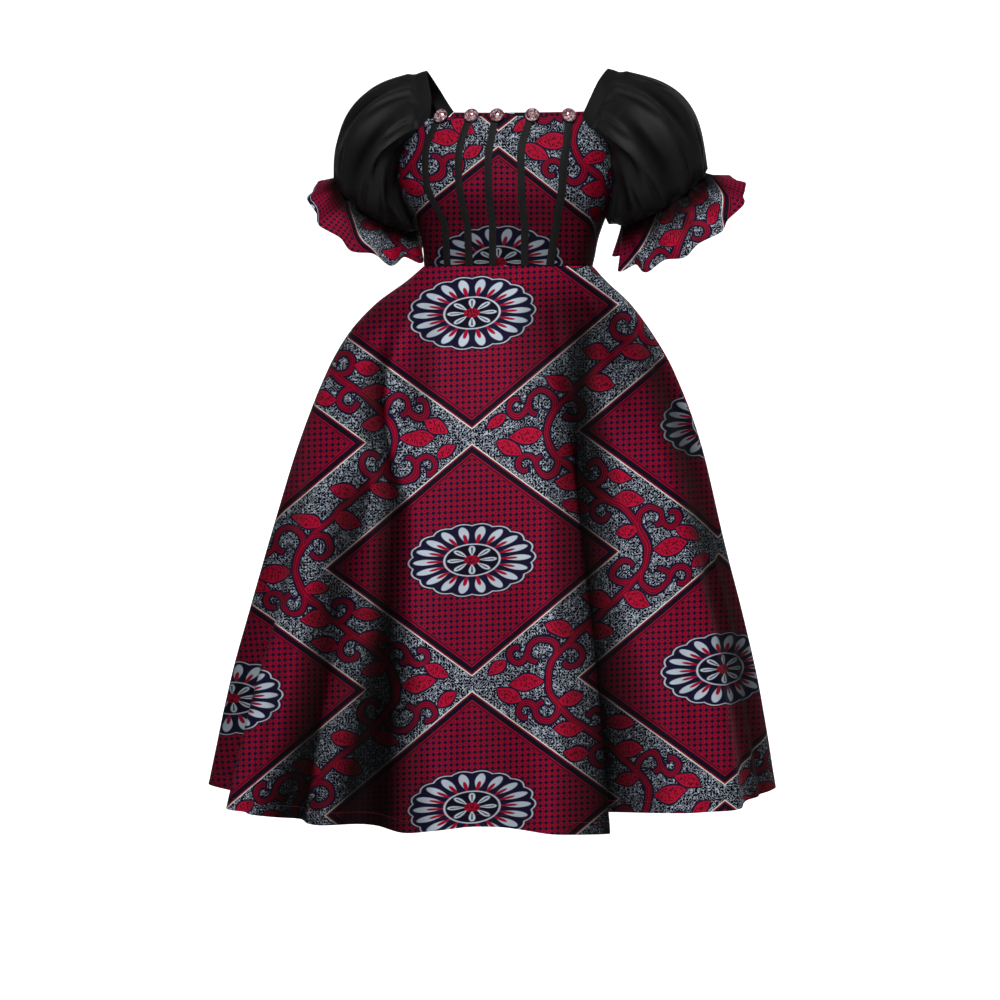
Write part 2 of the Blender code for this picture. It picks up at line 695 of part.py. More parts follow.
def turned(rings, sides, offset=0.0):
    """Vertices and faces of a turned solid, from rings of radius and height, closed at both ends."""
    vertices, faces = [], []
    for k, (radius, height) in enumerate(rings):
        for i in range(sides):
            a = 2 * math.pi * (i + offset * (k % 2)) / sides
            vertices.append((radius * math.cos(a), radius * math.sin(a), height))
    for k in range(len(rings) - 1):
        for i in range(sides):
            n = (i + 1) % sides
            faces.append((k * sides + i, k * sides + n, (k + 1) * sides + n, (k + 1) * sides + i))
    faces.append(tuple(reversed(range(sides))))
    faces.append(tuple(range((len(rings) - 1) * sides, len(rings) * sides)))
    return vertices, faces


def place_on(obj, point, normal):
    """Turns the object's own Z along the normal and moves it to the point."""
    z = Vector(normal).normalized()
    x = Vector((0, 0, 1)).cross(z).normalized()
    y = z.cross(x)
    turn = Matrix((x, y, z)).transposed().to_4x4()
    obj.matrix_world = Matrix.Translation(Vector(point)) @ turn


def make_button(number, row):
    point, normal = bodice_normal_at(row["button"], BUTTON_Z - BUTTON_RISE)
    up_slope = unit(np.array([0, 0, 1]) - normal * normal[2])
    point = point + up_slope * BUTTON_RISE
    base = TAPE_GAP + TAPE_CLOTH + SEAM
    cup_rings = [(BUTTON_RADIUS * 0.72, 0.0), (BUTTON_RADIUS, 0.0012), (BUTTON_RADIUS, BUTTON_THICK)]
    back, faces = turned(cup_rings, 20)
    cup = add_object(f"button_{number}", back, faces, "black plastic")
    place_on(cup, point + normal * base, normal)
    cut = [(CRYSTAL_RADIUS, 0.0), (CRYSTAL_RADIUS * 0.98, 0.0012), (CRYSTAL_RADIUS * 0.78, 0.0036)]
    cut += [(CRYSTAL_RADIUS * 0.48, 0.0052), (CRYSTAL_RADIUS * 0.20, 0.0058)]
    stone, faces = turned(cut, 12, 0.5)
    crystal = add_object(f"crystal_{number}", stone, faces, "pink crystal", smooth=False)
    place_on(crystal, point + normal * (base + BUTTON_THICK + SEAM), normal)


def make_zip_tape():
    """It follows the rows of the two back panels, under their inner faces."""
    bodice_rows = bodice_heights(np.array([180.0]), back_top)[::-1, 0]
    skirt_rows = skirt_heights()
    grid, normals = [], []
    for z in np.concatenate([bodice_rows, skirt_rows[skirt_rows > ZIP_END_Z]]):
        surface, rows = (torso_point, TORSO) if z > WAIST_Z else (skirt_point, SKIRT)
        reach = math.degrees(ZIP_TAPE_WIDTH / 2 / read(rows, "z", "half_width", z))
        angles = np.array([180 - reach, 180, 180 + reach])
        normals.append(normal_of(surface, angles, z))
        grid.append(surface(angles, z) - normals[-1] * (CLOTH + SEAM * 2))
    cloth_wall("zip_tape", np.array(grid), ZIP_TAPE_CLOTH, "black cloth", np.array(normals))


def box_mesh(low, high):
    (x0, y0, z0), (x1, y1, z1) = low, high
    vertices = [(x, y, z) for x in (x0, x1) for y in (y0, y1) for z in (z0, z1)]
    faces = [(0, 1, 3, 2), (4, 6, 7, 5), (0, 4, 5, 1), (2, 3, 7, 6), (0, 2, 6, 4), (1, 5, 7, 3)]
    return vertices, faces


def prism_x(outline, half):
    """A closed outline of (y, z) points, drawn out along X to both sides."""
    count = len(outline)
    vertices = [(x, y, z) for x in (-half, half) for y, z in outline]
    faces = [tuple(range(count)), tuple(range(2 * count - 1, count - 1, -1))]
    faces += [(i, (i + 1) % count, count + (i + 1) % count, count + i) for i in range(count)]
    return vertices, faces


def boolean(target, other, operation):
    step = target.modifiers.new(operation.lower(), "BOOLEAN")
    step.object, step.operation = other, operation
    other.hide_render = True
    other.display_type = "WIRE"


def make_zip():
    """A slider with a bail that holds the bar of a hanging pull. The pull's own origin is on its hinge."""
    surface = torso_point(180.0, PULL_BAR_Z)
    normal = normal_of(torso_point, np.float64(180.0), PULL_BAR_Z)
    bar = surface + normal * PULL_BAR_OUT
    lean = math.atan2(-normal[2], normal[1])
    placing = Matrix.Translation(Vector(bar)) @ Matrix.Rotation(-lean, 4, "X")
    block = box_mesh((-0.0026, -0.0031, -0.0046), (0.0026, -0.0012, 0.0046))
    slider = add_object("zip_slider", *block, "dark metal")
    arch = [(-0.0016, -0.0022), (0.0022, -0.0022), (0.0022, 0.0022), (-0.0016, 0.0022)]
    arch += [(-0.0016, 0.0013), (0.0013, 0.0013), (0.0013, -0.0013), (-0.0016, -0.0013)]
    bail = add_object("bail", *prism_x(arch, 0.0008), "dark metal")
    pull_outline = [(-0.0025, 0.0006), (0.0025, 0.0006), (0.0027, -0.0060)]
    for step in range(9):
        a = math.radians(-20 + 220 * step / 8)
        pull_outline.append((0.0040 * math.cos(a), -0.0190 - 0.0045 * math.sin(a)))
    pull_outline.append((-0.0027, -0.0060))
    count = len(pull_outline)
    vertices = [(x, y, z) for y in (-0.0006, 0.0006) for x, z in pull_outline]
    faces = [tuple(range(count)), tuple(range(2 * count - 1, count - 1, -1))]
    faces += [(i, (i + 1) % count, count + (i + 1) % count, count + i) for i in range(count)]
    pull = add_object("zip_pull", vertices, faces, "dark metal")
    hole = box_mesh((-0.0014, -0.0020, -0.0050), (0.0014, 0.0020, -0.0006))
    window = add_object("window", *hole, "dark metal")
    for piece in (slider, bail, pull, window):
        piece.matrix_world = placing
    boolean(slider, bail, "UNION")
    boolean(pull, window, "DIFFERENCE")


def main():
    for obj in list(bpy.data.objects):
        bpy.data.objects.remove(obj, do_unlink=True)
    make_bodice()
    make_skirt()
    for side in SIDES:
        make_strap(side)
        make_sleeve(side)
        make_ruffle(side)
        make_pocket(side)
    for i in range(len(TAPES["neck"])):
        row = {name: column[i] for name, column in TAPES.items()}
        make_tape(i + 1, row)
        make_button(i + 1, row)
    make_zip_tape()
    make_zip()


main()
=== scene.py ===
import math

import bmesh
import bpy
import numpy as np
from mathutils import Matrix, Vector


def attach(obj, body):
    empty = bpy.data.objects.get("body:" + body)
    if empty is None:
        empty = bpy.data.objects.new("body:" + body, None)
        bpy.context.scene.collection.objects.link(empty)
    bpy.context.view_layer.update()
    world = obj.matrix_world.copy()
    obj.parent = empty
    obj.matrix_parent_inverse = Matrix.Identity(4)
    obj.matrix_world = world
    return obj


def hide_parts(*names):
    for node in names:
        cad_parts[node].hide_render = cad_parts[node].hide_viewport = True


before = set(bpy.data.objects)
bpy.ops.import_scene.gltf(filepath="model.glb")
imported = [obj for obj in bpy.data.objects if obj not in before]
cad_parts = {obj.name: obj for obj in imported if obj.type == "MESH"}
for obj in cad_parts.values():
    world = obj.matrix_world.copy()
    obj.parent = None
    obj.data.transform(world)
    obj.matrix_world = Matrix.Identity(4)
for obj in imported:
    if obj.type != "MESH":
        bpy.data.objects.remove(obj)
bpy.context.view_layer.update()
print("stage: solids loaded")


def placed(name, data):
    piece = bpy.data.objects.new(name, data)
    bpy.context.scene.collection.objects.link(piece)
    return piece


# Metres. +X is the wearer's left, the front faces -Y, the origin is between the shoulder straps

dress = {
    "waistZ": -0.300,
    "hemZ": -1.105,
    "cloth": 0.0020,
    "sleeveCloth": 0.0016,
    "seam": 0.0003,
    "sideGap": 0.0100,  # half of a seam gap, in degrees round the body
}

picture = {
    "azimuth": 9.0,
    "distance": 4.2,
    "cameraZ": -0.29,
    "target": (-0.026, -0.663),  # to the right and up, on the dress's own axis
    "focal": 2710.0,
    "side": 1000.0,
    "metresPerPixel": 0.00155,
}

# Camera

turned = math.radians(picture["azimuth"])
toRight = np.array([math.cos(turned), math.sin(turned), 0.0])
cameraPlace = np.array([math.sin(turned), -math.cos(turned), 0.0]) * picture["distance"]
cameraPlace[2] = picture["cameraZ"]
cameraTarget = toRight * picture["target"][0]
cameraTarget[2] = picture["target"][1]
lookAlong = (cameraTarget - cameraPlace) / np.linalg.norm(cameraTarget - cameraPlace)
lookRight = np.cross(lookAlong, (0, 0, 1))
lookRight /= np.linalg.norm(lookRight)
lookUp = np.cross(lookRight, lookAlong)

camera = placed("camera", bpy.data.cameras.new("camera"))
camera.data.sensor_width = 36.0
camera.data.lens = picture["focal"] / picture["side"] * 36.0
camera.data.clip_end = 60.0
camera.matrix_world = (
    Matrix.Translation(Vector(cameraPlace))
    @ Matrix((Vector(lookRight), Vector(lookUp), Vector(-lookAlong))).transposed().to_4x4()
)
bpy.context.scene.camera = camera


# The dress's own surfaces, as its solids have them

def table(columns, *rows):
    return {name: np.array([row[i] for row in rows], float) for i, name in enumerate(columns.split())}


# Level sections of the torso and the skirt. Squareness 2 is an ellipse
torso = table(
    "z halfWidth front back centreX centreY squareness",
    (-0.300, 0.1300, 0.098, 0.092, -0.010, -0.020, 2.15),
    (-0.262, 0.1355, 0.104, 0.094, -0.009, -0.020, 2.20),
    (-0.237, 0.1425, 0.110, 0.097, -0.008, -0.019, 2.25),
    (-0.217, 0.1530, 0.117, 0.101, -0.010, -0.018, 2.30),
    (-0.183, 0.1665, 0.127, 0.106, -0.011, -0.017, 2.30),
    (-0.145, 0.1730, 0.129, 0.109, -0.009, -0.015, 2.30),
    (-0.105, 0.1730, 0.119, 0.108, -0.005, -0.012, 2.30),
    (-0.055, 0.1680, 0.101, 0.101, -0.001, -0.008, 2.30),
)
skirt = table(
    "z halfWidth front back centreX centreY squareness",
    (-1.120, 0.4540, 0.385, 0.378, -0.044, 0.000, 2.00),
    (-0.942, 0.4180, 0.353, 0.347, -0.038, 0.000, 2.00),
    (-0.818, 0.3860, 0.321, 0.318, -0.033, -0.002, 2.00),
    (-0.694, 0.3510, 0.291, 0.287, -0.030, -0.006, 2.00),
    (-0.570, 0.3140, 0.258, 0.252, -0.027, -0.010, 2.00),
    (-0.462, 0.2710, 0.221, 0.213, -0.025, -0.014, 2.00),
    (-0.408, 0.2390, 0.194, 0.185, -0.024, -0.016, 2.00),
    (-0.358, 0.1970, 0.158, 0.150, -0.019, -0.018, 2.05),
    (-0.322, 0.1530, 0.120, 0.113, -0.013, -0.020, 2.10),
    (-0.300, 0.1300, 0.098, 0.092, -0.010, -0.020, 2.15),
)

# Large troughs of the skirt, in degrees from the centre front toward +X
folds = table(
    "hem top startZ depth left right tuck",
    (6, 4, -0.560, 0.072, 14, 22, 0.0),
    (35, 33, -0.400, 0.116, 7, 28, 3.0),
    (-17, -37, -0.370, 0.022, 9, 9, 0.0),
    (-69, -62, -0.480, 0.060, 15, 15, 0.0),
    (73, 70, -0.560, 0.020, 9, 8, 0.0),
    (103, 96, -0.520, 0.045, 12, 13, 0.0),
    (127, 124, -0.420, 0.030, 10, 10, 0.0),
    (150, 152, -0.480, 0.070, 12, 15, 1.5),
    (184, 182, -0.540, 0.045, 14, 13, 0.0),
    (209, 211, -0.400, 0.080, 10, 15, 2.0),
    (231, 232, -0.500, 0.032, 10, 9, 0.0),
    (250, 254, -0.560, 0.042, 10, 10, 0.0),
)

# Smaller creases of the skirt: where each lies at its two ends, its depth (a ridge where it is
# negative) and its reach in degrees
creases = table(
    "low high lowZ highZ depth reach",
    (-52, -40, -0.700, -0.306, 0.0075, 7.0),
    (-26, -30, -0.560, -0.304, 0.0060, 6.0),
    (-8, -14, -0.520, -0.303, 0.0050, 6.5),
    (13, 10, -0.470, -0.303, 0.0045, 6.0),
    (27, 30, -0.620, -0.304, 0.0065, 6.5),
    (52, 50, -0.560, -0.304, 0.0070, 7.0),
    (76, 70, -0.500, -0.304, 0.0060, 7.0),
    (-80, -76, -0.520, -0.304, 0.0060, 7.0),
    (-33, -30, -1.120, -0.640, 0.0085, 6.0),
    (-48, -44, -1.120, -0.760, 0.0080, 5.0),
    (-4, -6, -1.120, -0.720, 0.0070, 5.0),
    (20, 21, -1.120, -0.700, -0.0060, 5.0),
    (58, 56, -1.120, -0.620, 0.0080, 6.0),
    (82, 80, -1.120, -0.800, 0.0070, 6.0),
    (-86, -84, -1.120, -0.700, 0.0060, 6.0),
    (100, 104, -0.560, -0.304, 0.0065, 7.0),
    (122, 120, -0.500, -0.304, 0.0055, 6.5),
    (141, 139, -0.600, -0.304, 0.0070, 7.0),
    (163, 161, -0.520, -0.304, 0.0060, 6.5),
    (197, 199, -0.540, -0.304, 0.0060, 6.5),
    (222, 220, -0.600, -0.304, 0.0070, 7.0),
    (243, 241, -0.500, -0.304, 0.0060, 6.5),
    (261, 262, -0.560, -0.304, 0.0060, 7.0),
    (114, 112, -1.120, -0.700, 0.0070, 6.0),
    (138, 139, -1.120, -0.780, -0.0060, 5.0),
    (168, 167, -1.120, -0.660, 0.0080, 6.0),
    (196, 197, -1.120, -0.740, -0.0060, 5.0),
    (221, 222, -1.120, -0.700, 0.0070, 5.0),
    (240, 243, -1.120, -0.800, -0.0050, 5.0),
)

# The skirt's main soft troughs and broad shades: each one's depth, then its way down with its
# reach on both sides and the strength of its shade. The shade is painted shade that darkens the
# cloth's colour in the trough, and those with no depth are painted shade alone
troughsAndPaintedShade = tuple((depth, table("z angle left right dark", *rows)) for depth, *rows in (
    (
        0.006, (-1.12, 33, 13, 18, 1.15), (-1.047, 33, 12.5, 18.5, 1.15), (-0.905, 33.5, 12, 15, 1.1),
        (-0.777, 33.5, 14, 10.5, 1.1), (-0.65, 33.5, 14, 11.5, 1.02), (-0.47, 34.5, 13, 8, 1.0),
        (-0.39, 41, 12, 12, 0.95), (-0.33, 46, 10, 12, 0.6),
    ),
    (
        0.020, (-1.12, -19.5, 6.5, 17, 1.15), (-1.047, -19.5, 6.5, 16, 1.15), (-0.905, -18.5, 7, 12, 1.15),
        (-0.777, -19.5, 6.5, 8.5, 0.95), (-0.65, -21.5, 5.5, 8, 0.93), (-0.60, -26, 6, 7, 0.85),
        (-0.475, -37, 6, 8, 0.9), (-0.38, -40, 6, 8, 0.45),
    ),
    (
        0.014, (-1.12, -33, 12, 6, 1.12), (-0.905, -33.5, 6, 6, 0.96), (-0.777, -34.5, 6, 8, 0.93),
        (-0.65, -33, 8, 6, 0.88), (-0.56, -30, 6, 6, 0.2),
    ),
    (
        0.0, (-1.12, -27, 12, 10, 0.62), (-0.78, -28, 10, 8, 0.60), (-0.65, -28, 8, 6, 0.35),
        (-0.55, -28, 6, 6, 0),
    ),
    (
        0.0, (-0.56, 40, 20, 14, 0), (-0.47, 40, 30, 40, 0.55), (-0.40, 44, 34, 34, 0.80),
        (-0.36, 45, 34, 30, 0.88), (-0.31, 45, 30, 25, 0.7),
    ),
    (
        0.0, (-0.50, -60, 25, 20, 0), (-0.42, -62, 30, 30, 0.35), (-0.37, -60, 30, 38, 0.55),
        (-0.31, -60, 30, 30, 0.3),
    ),
    (0.0, (-0.56, -17, 5, 5, 0), (-0.47, -18, 6, 7, 0.5), (-0.38, -20, 6, 6, 0.25), (-0.33, -20, 6, 6, 0)),
    (0.010, (-1.12, -60, 8, 8, 0.55), (-0.90, -58, 8, 8, 0.55), (-0.72, -54, 7, 8, 0.35)),
    (0.004, (-1.12, -82, 20, 16, 0.5), (-0.50, -82, 22, 18, 0.5), (-0.40, -82, 20, 16, 0.3)),
    (
        0.012, (-1.12, 82, 11, 12, 0.85), (-0.905, 80, 12, 12, 0.85), (-0.777, 80, 18, 12, 0.85),
        (-0.65, 78, 18, 12, 0.8), (-0.47, 76, 22, 12, 0.8), (-0.38, 74, 20, 14, 0.5),
    ),
    (0.006, (-1.12, 12, 6, 7, 0.25), (-0.92, 10, 6, 7, 0.2), (-0.75, 11, 5, 6, 0.1)),
    (0.010, (-1.12, 103, 8, 7, 0.6), (-0.85, 102, 8, 7, 0.6), (-0.60, 99, 8, 7, 0.5), (-0.42, 99, 7, 7, 0.3)),
    (0.014, (-1.12, 150, 7, 12, 0.9), (-0.80, 152, 7, 10, 0.85), (-0.55, 150, 6, 9, 0.7), (-0.40, 143, 6, 8, 0.4)),
    (0.008, (-1.12, 171, 6, 6, 0.5), (-0.90, 169, 6, 6, 0.45), (-0.66, 172, 5, 6, 0.2)),
    (0.016, (-1.12, 208, 12, 6, 0.95), (-0.80, 210, 10, 6, 0.9), (-0.55, 211, 9, 6, 0.7), (-0.40, 217, 8, 6, 0.4)),
    (0.010, (-1.12, 249, 8, 7, 0.6), (-0.90, 251, 8, 7, 0.6), (-0.64, 247, 7, 7, 0.4), (-0.45, 245, 7, 7, 0.2)),
))

hemDrop = table(
    "angle drop", (-180, 0.000), (-115, 0.004), (-90, 0.010), (-62, 0.014), (-30, 0.008),
    (0, 0.009), (28, 0.010), (38, 0.002), (70, 0.000), (180, 0.000),
)
frontEdge = table(
    "angle z", (40, -0.077), (46, -0.093), (59, -0.111), (68, -0.138), (78, -0.170), (86, -0.205), (90, -0.222)
)
backEdge = table(
    "angle z", (38, -0.060), (44, -0.076), (57, -0.098), (67, -0.130), (77, -0.167), (86, -0.205), (90, -0.222)
)
strap = table(
    "innerX innerY innerZ outerX outerY outerZ",
    (0.1215, -0.068, -0.049, 0.1385, -0.071, -0.059),
    (0.1320, -0.036, -0.018, 0.1490, -0.038, -0.025),
    (0.1410, 0.000, 0.000, 0.1570, 0.000, -0.005),
    (0.1370, 0.036, -0.012, 0.1535, 0.038, -0.019),
    (0.1260, 0.066, -0.036, 0.1430, 0.070, -0.046),
)


def cubic(start, leave, end, arrive, t):
    # from start to end, with these tangents there
    return (
        start * (1 + 2 * t) * (1 - t) ** 2
        + leave * t * (1 - t) ** 2
        + end * t * t * (3 - 2 * t)
        - arrive * t * t * (1 - t)
    )


def read(rows, key, name, at):
    # the column's value at the key, on a smooth curve that doesn't overshoot its rows
    order = np.argsort(rows[key])
    x, y = rows[key][order], rows[name][order]
    step = np.diff(x)
    slope = np.diff(y) / step
    tangent = np.empty(len(x))
    tangent[0], tangent[-1] = slope[0], slope[-1]
    sameWay = slope[:-1] * slope[1:] > 0
    safe = np.where(sameWay, slope[:-1] + slope[1:], 1)
    tangent[1:-1] = np.where(sameWay, 2 * slope[:-1] * slope[1:] / safe, 0)
    at = np.clip(np.asarray(at, float), x[0], x[-1])
    i = np.clip(np.searchsorted(x, at) - 1, 0, len(x) - 2)
    t = (at - x[i]) / step[i]
    return cubic(y[i], tangent[i] * step[i], y[i + 1], tangent[i + 1] * step[i], t)


def running(steps):
    # the sums of the steps so far along the last axis, from 0
    return np.concatenate([np.zeros((*steps.shape[:-1], 1)), np.cumsum(steps, axis=-1)], axis=-1)


def gridUv(width, length, columns, rows):
    return np.stack(np.meshgrid(np.linspace(0, width, columns), np.linspace(0, length, rows)), axis=-1)


def unit(v):
    return v / np.maximum(np.linalg.norm(v, axis=-1, keepdims=True), 1e-12)


def smoothStep(t):
    t = np.clip(t, 0, 1)
    return t * t * (3 - 2 * t)


def bump(t):
    return np.clip(1 - np.asarray(t) ** 2, 0, 1) ** 2


def rowsOf(rows):
    return [{name: column[i] for name, column in rows.items()} for i in range(len(next(iter(rows.values()))))]


def sectionPoint(rows, angle, z):
    angle, z = np.broadcast_arrays(np.asarray(angle, float), np.asarray(z, float))
    sine, cosine = np.sin(np.radians(angle)), np.cos(np.radians(angle))
    power = 2 / read(rows, "z", "squareness", z)
    depth = np.where(cosine > 0, read(rows, "z", "front", z), read(rows, "z", "back", z))
    across = read(rows, "z", "halfWidth", z) * np.sign(sine) * np.abs(sine) ** power
    forward = depth * np.sign(cosine) * np.abs(cosine) ** power
    x = read(rows, "z", "centreX", z) + across
    y = read(rows, "z", "centreY", z) - forward
    return np.stack([x, y, z], axis=-1)


def torsoPoint(angle, z):
    return sectionPoint(torso, angle, z)


def wrapped(degrees):
    return (degrees + 180) % 360 - 180


def skirtPoint(angle, z, shadeOnly=False):
    angle, z = np.broadcast_arrays(np.asarray(angle, float), np.asarray(z, float))
    inward, roll, shade = np.zeros((3, *angle.shape))
    for fold in rowsOf(folds):
        down = np.clip((z - fold["startZ"]) / (dress["hemZ"] - fold["startZ"]), 0, 1)
        grown = down**0.9 * smoothStep(down * 2.5)
        away = wrapped(angle - fold["top"] - (fold["hem"] - fold["top"]) * down)
        reach = np.where(away < 0, fold["left"], fold["right"])
        inward += fold["depth"] * grown * bump(away / reach)
        rim = bump((away + fold["left"]) / fold["left"])
        roll += fold["tuck"] * grown * (rim - bump(away / fold["left"]))
    for crease in rowsOf(creases):
        down = (z - crease["highZ"]) / (crease["lowZ"] - crease["highZ"])
        away = wrapped(angle - crease["high"] - (crease["low"] - crease["high"]) * np.clip(down, 0, 1))
        atHem = crease["lowZ"] < -1.0
        along = smoothStep(down * 1.4) if atHem else bump(down * 2 - 1) ** 0.7 * smoothStep((1 - down) * 1.3)
        inward += crease["depth"] * along * np.exp(-((away / crease["reach"] * 2.0) ** 2))
    for depth, rows in troughsAndPaintedShade:
        away = wrapped(angle - read(rows, "z", "angle", z))
        near = bump(away / np.where(away < 0, read(rows, "z", "left", z), read(rows, "z", "right", z)))
        below = rows["z"].max() + 0.03 - z
        inward += depth * near * smoothStep(below / 0.16) * smoothStep((dress["waistZ"] - z) / 0.05)
        # painted shade: how dark the cloth's colour is painted in and around each drape
        under = read(rows, "z", "dark", z) * smoothStep(below / 0.10)
        shade = np.maximum(shade, under * near**0.35 * smoothStep((dress["waistZ"] + 0.01 - z) / 0.03))
    # with shadeOnly, the painted shade for the cloth's colour in place of the point
    if shadeOnly:
        return np.clip(shade, 0, 1)
    point = sectionPoint(skirt, angle + roll, z)
    centre = sectionPoint(skirt, 0, z)
    centre[..., 1] = read(skirt, "z", "centreY", z)
    centre[..., 2] = z
    return point - unit(point - centre) * inward[..., None]


def normalOf(surface, angle, z):
    around = surface(angle + 0.3, z) - surface(angle - 0.3, z)
    up = surface(angle, z + 0.001) - surface(angle, z - 0.001)
    return unit(np.cross(around, up))


def frontTop(angle):
    return np.where(np.abs(angle) <= 40, -0.077, read(frontEdge, "angle", "z", np.abs(angle)))


def backTop(angle):
    offCentre = 180 - np.abs(angle)
    return np.where(offCentre <= 38, -0.060, read(backEdge, "angle", "z", offCentre))


def evenSteps(curve, start, end, count):
    fine = np.linspace(start, end, 900)
    points = curve(fine)
    run = running(np.linalg.norm(np.diff(points, axis=0), axis=1))
    return np.interp(np.linspace(0, run[-1], count + 1), run, fine)


def gridNormals(points, closed=False):
    if closed:
        around = np.roll(points, -1, axis=1) - np.roll(points, 1, axis=1)
    else:
        around = np.gradient(points, axis=1)
    return unit(np.cross(around, np.gradient(points, axis=0)))


def outward(points, inside):
    normals = gridNormals(points, closed=True)
    return normals * np.sign(np.sum(normals * (points - inside)))


# What makes every piece of cloth: a wall from its outer points, with the cloth's own UV map

def clothShell(name, outer, normals, thickness, uv, finish, closed=False, capped=False, shade=0.0):
    rows, columns = outer.shape[:2]
    shade = np.broadcast_to(shade, (rows, columns))
    if closed:  # the last column is the first one again, so that the UV map has its seam there
        outer, normals, shade = (np.concatenate([v, v[:, :1]], axis=1) for v in (outer, normals, shade))
        columns += 1
    inner = outer - thickness * normals
    vertices = np.concatenate([outer.reshape(-1, 3), inner.reshape(-1, 3)])
    under = rows * columns
    r, c = np.meshgrid(np.arange(rows - 1), np.arange(columns - 1), indexing="ij")
    a = (r * columns + c).ravel()
    quads = [np.stack([a, a + 1, a + columns + 1, a + columns], axis=-1)]
    quads.append(quads[0][:, ::-1] + under)
    edges = [(np.arange(columns), 1), (np.arange(columns) + (rows - 1) * columns, -1)]
    if capped:
        edges = edges[:1]
    if not closed:
        edges += [(np.arange(rows) * columns, -1), (np.arange(rows) * columns + columns - 1, 1)]
    for edge, way in edges:
        strip = np.stack([edge[1:], edge[:-1], edge[:-1] + under, edge[1:] + under], axis=-1)
        quads.append(strip[:, ::way])
    faces = np.concatenate(quads)
    uv = np.concatenate([uv.reshape(-1, 2)] * 2)
    mesh = bpy.data.meshes.new(name)
    mesh.from_pydata(vertices, [], faces)
    layer = mesh.uv_layers.new(name="cloth")
    corners = np.empty(len(mesh.loops), np.int32)
    mesh.loops.foreach_get("vertex_index", corners)
    layer.data.foreach_set("uv", uv[corners].astype(np.float32).ravel())
    # the painted shade of folds and shadows, which the material darkens the colour by
    depth = mesh.attributes.new("crease", "FLOAT", "POINT")
    depth.data.foreach_set("value", np.concatenate([shade.ravel()] * 2).astype(np.float32))
    if closed or capped:
        edit = bmesh.new()
        edit.from_mesh(mesh)
        bmesh.ops.remove_doubles(edit, verts=edit.verts, dist=0.00002)
        if capped:
            holes = [e for e in edit.edges if e.is_boundary]
            bmesh.ops.holes_fill(edit, edges=holes, sides=0)
        bmesh.ops.recalc_face_normals(edit, faces=edit.faces)
        edit.to_mesh(mesh)
        edit.free()
    elif np.sum(gridNormals(outer) * normals) < 0:
        mesh.flip_normals()
    mesh.shade_smooth()
    mesh.set_sharp_from_angle(angle=math.radians(55))
    mesh.materials.append(finish)
    piece = placed(name, mesh)
    steps = np.linalg.norm(np.cross(np.diff(outer, axis=0)[:, :-1], np.diff(outer, axis=1)[:-1]), axis=-1)
    print(f"  {name}: {steps.sum():.4f} m2, {len(mesh.polygons)} faces")
    return piece


def gridSize(points):
    # the mean width and length of a grid, as its flat cut would be measured
    across = np.linalg.norm(np.diff(points, axis=1), axis=-1).sum(axis=1).mean()
    along = np.linalg.norm(np.diff(points, axis=0), axis=-1).sum(axis=0).mean()
    return float(across), float(along)


# Numbers in a shader's tree, written as sums

class Wire:
    def __init__(self, tree, socket):
        self.tree, self.socket = tree, socket

    def math(self, operation, *others, clamp=False):
        node = self.tree.nodes.new("ShaderNodeMath")
        node.operation, node.use_clamp = operation, clamp
        for place, value in enumerate((self, *others)):
            if isinstance(value, Wire):
                self.tree.links.new(value.socket, node.inputs[place])
            else:
                node.inputs[place].default_value = value
        return Wire(self.tree, node.outputs[0])

    def __add__(self, other):
        return self.math("ADD", other)

    def __sub__(self, other):
        return self.math("SUBTRACT", other)

    def __mul__(self, other):
        return self.math("MULTIPLY", other)

    def __truediv__(self, other):
        return self.math("DIVIDE", other)

    def __abs__(self):
        return self.math("ABSOLUTE")

    def smaller(self, other):
        return self.math("MINIMUM", other)

    def larger(self, other):
        return self.math("MAXIMUM", other)

    def inside(self, soft=0.7):
        # 1 where a distance is under 0, with an edge this soft
        return self.math("MULTIPLY_ADD", -1 / soft, 0.5, clamp=True)

    def along(self, other, here, there):
        # here times this plus there times the other
        return (self * here) + other.math("MULTIPLY", there)


def mixed(tree, share, first, second):
    node = tree.nodes.new("ShaderNodeMix")
    node.data_type = "RGBA"
    for place, value in ((0, share), (6, first), (7, second)):
        if isinstance(value, Wire):
            tree.links.new(value.socket, node.inputs[place])
        elif isinstance(value, tuple):
            node.inputs[place].default_value = (*value, 1)
        else:
            node.inputs[place].default_value = value
    return Wire(tree, node.outputs[2])


def multiplied(tree, colour, shade):
    node = tree.nodes.new("ShaderNodeMix")
    node.data_type, node.blend_type = "RGBA", "MULTIPLY"
    node.inputs[0].default_value = 1.0
    tree.links.new(colour, node.inputs[6])
    tree.links.new(shade.socket, node.inputs[7])
    return node.outputs[2]


def rampOf(tree, along, stops):
    node = tree.nodes.new("ShaderNodeValToRGB")
    tree.links.new(along, node.inputs["Fac"])
    while len(node.color_ramp.elements) < len(stops):
        node.color_ramp.elements.new(0.5)
    for stop, (place, colour) in zip(node.color_ramp.elements, stops):
        stop.position, stop.color = place, (*colour, 1)
    return node


def noiseOf(tree, vector, scale, detail=1.0, dimensions="3D", colour=False):
    node = tree.nodes.new("ShaderNodeTexNoise")
    node.noise_dimensions = dimensions
    tree.links.new(vector, node.inputs["Vector"])
    node.inputs["Scale"].default_value = scale
    node.inputs["Detail"].default_value = detail
    return node.outputs["Color"] if colour else Wire(tree, node.outputs["Fac"])


def partsOf(tree, vector, scale=1.0):
    node = tree.nodes.new("ShaderNodeSeparateXYZ")
    tree.links.new(vector, node.inputs[0])
    parts = [Wire(tree, node.outputs[i]) for i in range(2)]
    return [part * scale for part in parts] if scale != 1.0 else parts


def vectorOf(tree, x, y):
    node = tree.nodes.new("ShaderNodeCombineXYZ")
    tree.links.new(x.socket, node.inputs[0])
    tree.links.new(y.socket, node.inputs[1])
    return node.outputs[0]


